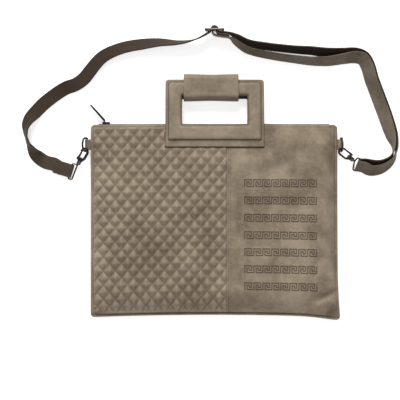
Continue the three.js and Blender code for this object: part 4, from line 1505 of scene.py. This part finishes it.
@dataclass
class Strap:
    """The shoulder strap: one strip from the left eye, by the slider, round the right eye and back."""

    form: BagForm
    left: Eye
    right: Eye
    leather: Material
    width: float = 20.0
    thick: float = 2.0
    gap: float = 0.3
    rest: float = 0.15
    wire: float = 2.6
    lap: float = 24.0
    slider: tuple[float, float, float] = (0.7, 278.5, 13.5)
    slider_wire: float = 3.0
    coarse: float = 12.0
    fine: float = 3.0
    left_end: float = 10.0

    def run(self, rows: Sequence[Sequence[float]], side: int = 0) -> list[Station]:
        """Follows one strand along a table of places.

        Args:
            rows: the table.
            side: 0 for a single strand, -1 for the outer and 1 for the inner one of two.

        Returns:
            Stations along the strand.
        """
        knots = [Vector((r[0] * self.form.width, r[1] * self.form.height, 0)) for r in rows]
        found: list[Station] = []
        for k, share, spot, along in self.curve(knots, self.coarse):
            ease = smooth_step(share)
            row = [a + (b - a) * ease for a, b in zip(rows[k], rows[k + 1])]
            lean, lift, apart = row[2], row[3], 0.0
            if side:
                apart, lift = row[3] * self.width, row[5 if side > 0 else 4]
            spot = spot + along.cross(UP).normalized() * (side * apart / 2)
            on_top = self.stacked(lean, apart) if side and lean * side > 0 else 0.0
            spot.z = self.level(lean) + self.rest + on_top + lift * self.width
            found.append(Station(spot, strap_across(along, lean)))
        return found

    def stacked(self, lean: float, apart: float) -> float:
        """Lifts the upper of two leaning strands clear of the lower one.

        Args:
            lean: their lean in degrees.
            apart: how far apart they are in plan.

        Returns:
            The lift.
        """
        angle, room, least_sine = math.radians(lean), 0.1, 0.3
        clear = self.thick + self.gap + room - apart * math.cos(angle)
        return max(0.0, clear / max(abs(math.sin(angle)), least_sine))

    @staticmethod
    def curve(knots: Sequence[Vector], step: float) -> Iterator[tuple[int, float, Vector, Vector]]:
        """Follows a smooth, centripetal curve through knots.

        Args:
            knots: the points that it passes through.
            step: about how far apart the places on it are.

        Yields:
            The number of the knot before a place, its share of the way to the next, the place and the
            curve's direction there.
        """
        ends = [2 * knots[0] - knots[1], *knots, 2 * knots[-1] - knots[-2]]
        for k, (p0, p1, p2, p3) in enumerate(zip(ends, ends[1:], ends[2:], ends[3:])):
            a, b, c = ((q - p).length ** 0.5 for p, q in ((p0, p1), (p1, p2), (p2, p3)))
            m1 = ((p1 - p0) / a - (p2 - p0) / (a + b) + (p2 - p1) / b) * b
            m2 = ((p2 - p1) / b - (p3 - p1) / (b + c) + (p3 - p2) / c) * b
            steps = max(1, round((p2 - p1).length / step))
            for i in range(steps + (k == len(knots) - 2)):
                t = i / steps
                slope = ((2 * p1 - 2 * p2 + m1 + m2) * 3 * t * t
                         + (3 * p2 - 3 * p1 - 2 * m1 - m2) * 2 * t + m1)
                yield k, t, hermite(p1, p2, m1, m2, t), slope.normalized()

    def level(self, lean: float) -> float:
        """Returns the height of the strap's middle where it rests on the ground and leans."""
        angle = math.radians(lean)
        return abs(math.cos(angle)) * self.width / 2 + abs(math.sin(angle)) * self.thick / 2

    def round_bar(self, eye: Eye, to_hook: Vector, start: Vector) -> list[Station]:
        """Passes the strap round an eye's bar by half a turn."""
        radius = self.wire / 2 + self.gap + self.thick / 2
        return [Station(eye.centre + start * u + to_hook * v, eye.bar) for u, v in arc(radius, 0, 2, 6)]

    def passes(self, rows: Iterable[tuple[float, float]]) -> list[Station]:
        """Turns places in plan from the slider's middle bar into stations on edge."""
        x, y, z = self.slider
        return [Station(Vector((x + u, y + v, z)), UP) for u, v in rows]

    def path(self) -> list[Station]:
        """Lays out the whole strap, from its lap at the left eye to its sewn end.

        Returns:
            Its stations, in order.
        """
        back = self.left.away
        low = self.thick / 2 + self.rest
        high = low + self.thick + 2 * self.gap
        wrap = self.slider_wire / 2 + self.gap + self.thick / 2
        over = wrap + self.thick + self.gap

        def beside(reach: float, z: float) -> Station:
            """Returns a station on the left lap, at a reach from the eye's bar and a height."""
            spot = self.left.centre + back * reach
            return Station(Vector((spot.x, spot.y, z)), self.left.bar)

        face = self.right.bar.cross(self.right.away).normalized()
        if face.z < 0:
            face.negate()
        return [
            # The lap at the left eye: out from its sewn end, round the bar and back over itself
            beside(self.lap, low), beside(self.lap / 2, low), beside(4, low),
            *self.round_bar(self.left, -back, -UP),
            beside(5, high + 1.8), beside(10, high + 0.7), beside(self.lap * 0.75, high),
            *self.run(LEFT_RUN),
            # Over the slider's middle bar, out along the outer strand, and back along the inner one
            *self.passes([(-14, -7.4), (-9.2, -4.6), (-6, -2.6), *arc(over, 2, 0, 6),
                          (over + 0.7, -2.3), (over + 2.6, -3.4), (13, -3.7), (19, -4.2)]),
            *self.run(RIGHT_RUN, -1),
            *self.round_bar(self.right, -self.right.away, face),
            *reversed(self.run(RIGHT_RUN, 1)),
            # Round the slider's middle bar, inside the first pass, to the sewn end
            *self.passes([(22, -11.4), (12, -9.9), (4, -8.6), (-0.4, -7.2), (-2.6, -4.9), *arc(wrap, 2, 0, 6),
                          (wrap + 0.2, -2.6), (wrap + 1.8, -5.2), (8, -6.5), (14, -7), (22, -8.3)]),
        ]

    def framed(self) -> list[tuple[Vector, Vector, Vector]]:
        """Smooths the strap's path and squares its section to it.

        Returns:
            Finely spaced places, each with the directions of the strap's width and face.
        """
        rough = self.path()
        knots = [station.spot for station in rough]
        signed: list[Vector] = []
        for k, station in enumerate(rough):
            wide = self.squared(station.across, knots, k)
            # A half turn leaves the strip's section as it is, so neighbours are kept on one side
            signed.append(-wide if signed and wide.dot(signed[-1]) < 0 else wide)
        spots: list[Vector] = []
        wides: list[Vector] = []
        for k, share, spot, _ in self.curve(knots, self.fine):
            spots.append(spot)
            wides.append(signed[k].lerp(signed[k + 1], share).normalized())
        result = []
        for k, spot in enumerate(spots):
            wide = self.squared(wides[k], spots, k)
            result.append((spot, wide, self.along(spots, k).cross(wide)))
        return result

    @staticmethod
    def along(spots: Sequence[Vector], k: int) -> Vector:
        """Returns the direction of a line of places at number k."""
        return (spots[min(k + 1, len(spots) - 1)] - spots[max(k - 1, 0)]).normalized()

    def squared(self, wide: Vector, spots: Sequence[Vector], k: int) -> Vector:
        """Returns the width's direction, squared to the line of places at number k."""
        along = self.along(spots, k)
        return (wide - along * wide.dot(along)).normalized()

    def build(self) -> None:
        """Builds and dresses the strip."""
        half, thick = self.width / 2, self.thick / 2
        section = [(half - 0.45, thick), (half * 0.8, thick), (half * 0.3, thick), (-half * 0.3, thick),
                   (-half * 0.8, thick), (-half + 0.45, thick), (-half + 0.1, thick - 0.25), (-half, 0.0)]
        section += [(-u, -v) for u, v in section]
        rings = [[spot + wide * u + face * v for u, v in section] for spot, wide, face in self.framed()]
        obj = skin("strap_leather", rings, marks={"inside": [float(v > thick * 0.6) for _, v in section]})
        # The left run is painted with the dark inner side's colour as shade, most of all above its hook, and
        # the strands right of the slider get a little of it as painted shade
        fade, hook_y, shade_at_hook, shade_above_hook = 30.0, 95.0, 0.64, 0.2
        strands_x, strands_y, strands_fade, strands_shade = 75.0, 225.0, 15.0, 0.3
        for vertex, value in zip(obj.data.vertices, obj.data.attributes["inside"].data):
            x, y = vertex.co.x / MM, vertex.co.y / MM
            left = shade_at_hook + shade_above_hook * smooth_step((y - hook_y) / fade)
            left *= smooth_step((self.left_end - x) / fade)
            strands = strands_shade * bell(x - strands_x, strands_x)
            strands *= smooth_step((y - strands_y) / strands_fade)
            value.value = max(value.value, left, strands)
        shade(obj, 50)
        dress(obj, self.leather, "strap_leather", "bag", "strap")


@dataclass
class Hardware:
    """Cast and wire pieces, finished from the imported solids: edges broken and shaded smooth."""

    metal: Material
    nodes: tuple[str, ...] = (
        "left_hook", "right_hook", "left_gate", "right_gate", "left_eye", "right_eye", "strap_slider",
        "zip_slider", "zip_pull")
    moving: tuple[str, ...] = ("left_gate", "right_gate", "zip_pull")
    edge: float = 0.22

    def build(self) -> None:
        """Builds and dresses each piece."""
        for node in self.nodes:
            obj = copy_of(node, f"{node}_metal")
            modify(obj, "BEVEL", width=self.edge * MM, segments=2, limit_method="ANGLE",
                   angle_limit=math.radians(38))
            shade(obj, 48)
            # A moving piece's body has its node's name
            dress(obj, self.metal, "gunmetal", node if node in self.moving else "bag", node)


def copy_of(node: str, name: str) -> Piece:
    """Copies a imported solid's mesh as the start of a finished piece.

    Args:
        node: the solid's name.
        name: the piece's name.

    Returns:
        The copy, with its doubled vertices merged.
    """
    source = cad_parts[node]
    obj = bpy.data.objects.new(name, source.data.copy())
    bpy.context.scene.collection.objects.link(obj)
    in_edit(
        obj,
        lambda: bpy.ops.mesh.remove_doubles(threshold=2e-6),
        lambda: bpy.ops.mesh.tris_convert_to_quads(),
        lambda: bpy.ops.mesh.normals_make_consistent(inside=False),
    )
    return obj


@dataclass
class Zip:
    """The zip's woven tapes and its nylon coil."""

    tape: Material
    coil: Material
    form: BagForm
    reach: float = 168.0
    pitch: float = 1.5
    coil_y: float = 0.3
    coil_deep: float = 0.8
    coil_high: float = 2.2

    def middle(self, x: float) -> float:
        """Returns the height of the zip at x, halfway across the mouth."""
        top = self.form.height / 2
        return (self.form.back(x, top) + self.form.front(x, top)) / 2

    def build(self) -> None:
        """Builds and dresses the tapes and the coil."""
        for node in ("zip_tape_front", "zip_tape_back"):
            obj = copy_of(node, f"{node}_weave")
            shade(obj, 50)
            dress(obj, self.tape, "zip_tape", "bag", node)
        y = self.form.height / 2 + self.coil_y
        # The coil swells once for every tooth
        swells = (1.0, 0.86, 0.62, 0.86)
        teeth = int(self.reach * 2 / self.pitch)
        rings = []
        for k, x in enumerate(evenly(-self.reach, self.reach, teeth * len(swells))):
            z, swell = self.middle(x), swells[k % len(swells)]
            rings.append([(x, y + self.coil_deep * v, z + self.coil_high * u)
                          for u, v in arc(swell, 0, 4, 10)[:-1]])
        obj = skin("zip_coil_teeth", rings)
        shade(obj, 50)
        dress(obj, self.coil, "zip_coil", "bag", "zip_chain")


@dataclass(frozen=True)
class Studio:
    """A pale floor, a camera straight above the bag and soft light from its handle side, in metres."""

    middle: tuple[float, float] = (-0.0204, 0.0306)
    across: float = 0.582
    height: float = 2.5
    bag_top: float = 0.015
    floor_side: float = 8.0
    floor_drop: float = 0.0001
    sensor: float = 36.0
    clip_end: float = 20.0

    def floor(self) -> None:
        """Lays the floor."""
        bpy.ops.mesh.primitive_plane_add(size=self.floor_side, location=(*self.middle, -self.floor_drop))
        obj = bpy.context.object
        obj.name = "floor"
        # White acrylic, faintly lit from behind as on a product table
        graph = Graph("backlit_white_acrylic")
        obj.data.materials.append(graph.finish(graph.add("BsdfPrincipled", inputs={
            "Base Color": srgb("#f6f5f4"), "Roughness": 0.85, "Specular IOR Level": 0.2,
            "Emission Color": srgb("#ffffff"), "Emission Strength": 0.56})))
        obj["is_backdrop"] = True

    def camera(self) -> None:
        """Places the camera as in the photograph."""
        bpy.ops.object.camera_add(location=(*self.middle, self.height + self.bag_top), rotation=(0, 0, 0))
        camera = bpy.context.object
        camera.data.sensor_width = self.sensor
        camera.data.lens = self.sensor * self.height / self.across
        camera.data.clip_end = self.clip_end
        bpy.context.scene.camera = camera

    def softbox(self, name: str, place_at: Point, size: float, power: float) -> None:
        """Adds a square area light that looks at the bag.

        Args:
            name: the light's name.
            place_at: its place in metres.
            size: its side in metres.
            power: its power in watts.
        """
        aim = Vector((*self.middle, 0.0)) - Vector(place_at)
        turn = aim.to_track_quat("-Z", "Y").to_euler()
        bpy.ops.object.light_add(type="AREA", location=place_at, rotation=turn)
        light = bpy.context.object
        light.name = name
        light.data.size = size
        light.data.energy = power

    def build(self) -> None:
        """Sets up the floor, camera, lights and view."""
        self.floor()
        self.camera()
        self.softbox("key", (-0.5, 2.9, 1.95), 1.8, 128)
        self.softbox("fill", (0.2, -1.1, 1.3), 1.4, 8)
        world = bpy.data.worlds.new("studio")
        world.use_nodes = True
        sky = world.node_tree.nodes["Background"].inputs
        sky["Color"].default_value = srgb("#f4f5f7")
        sky["Strength"].default_value = 0.4
        bpy.context.scene.world = world
        bpy.context.scene.view_settings.view_transform = "Standard"


def main() -> None:
    """Builds the bag over its solids, and the studio round it."""
    form = BagForm()
    smooth = Leather("smooth_taupe_leather", "#9a8b76", "#847562", "#6b5c4b").material()
    quilted = Leather("quilted_taupe_leather", "#9a8b75", "#887966", "#746552").material()
    handle = Leather("handle_taupe_leather", "#998a75", "#857764", "#716452").material()
    # The strap's inside colour also paints the shade on its left run and on its strands right of the slider
    strap = Leather("strap_leather", "#756a5d", "#655b4f", "#554b40", roughness=0.7, marbling=34,
                    inside="#2c2017", specular=0.1).material()
    metal, thread = Plating().material(), Thread().material()
    Panels(form, smooth, quilted, thread).build()
    Handles(handle, form).build()
    rings = [Ring(setting, metal, smooth) for setting in (LEFT_HOOK, RIGHT_HOOK)]
    for ring in rings:
        ring.build()
    Hardware(metal).build()
    tape = Tape("zip_tape_weave", "#6a5c4d").material()
    coil = Tape("zip_coil_nylon", "#3a3128", rib=2.96, roughness=0.75).material()
    Zip(tape, coil, form).build()
    Strap(form, *(Eye.of(ring) for ring in rings), strap).build()
    Studio().build()
    boxes = (("cad", CAD_BOX), ("visual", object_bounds()))
    {name: [list(corner) for corner in box] for name, box in boxes}


if __name__ == "__main__":
    logging.basicConfig(level=logging.INFO)
    main()
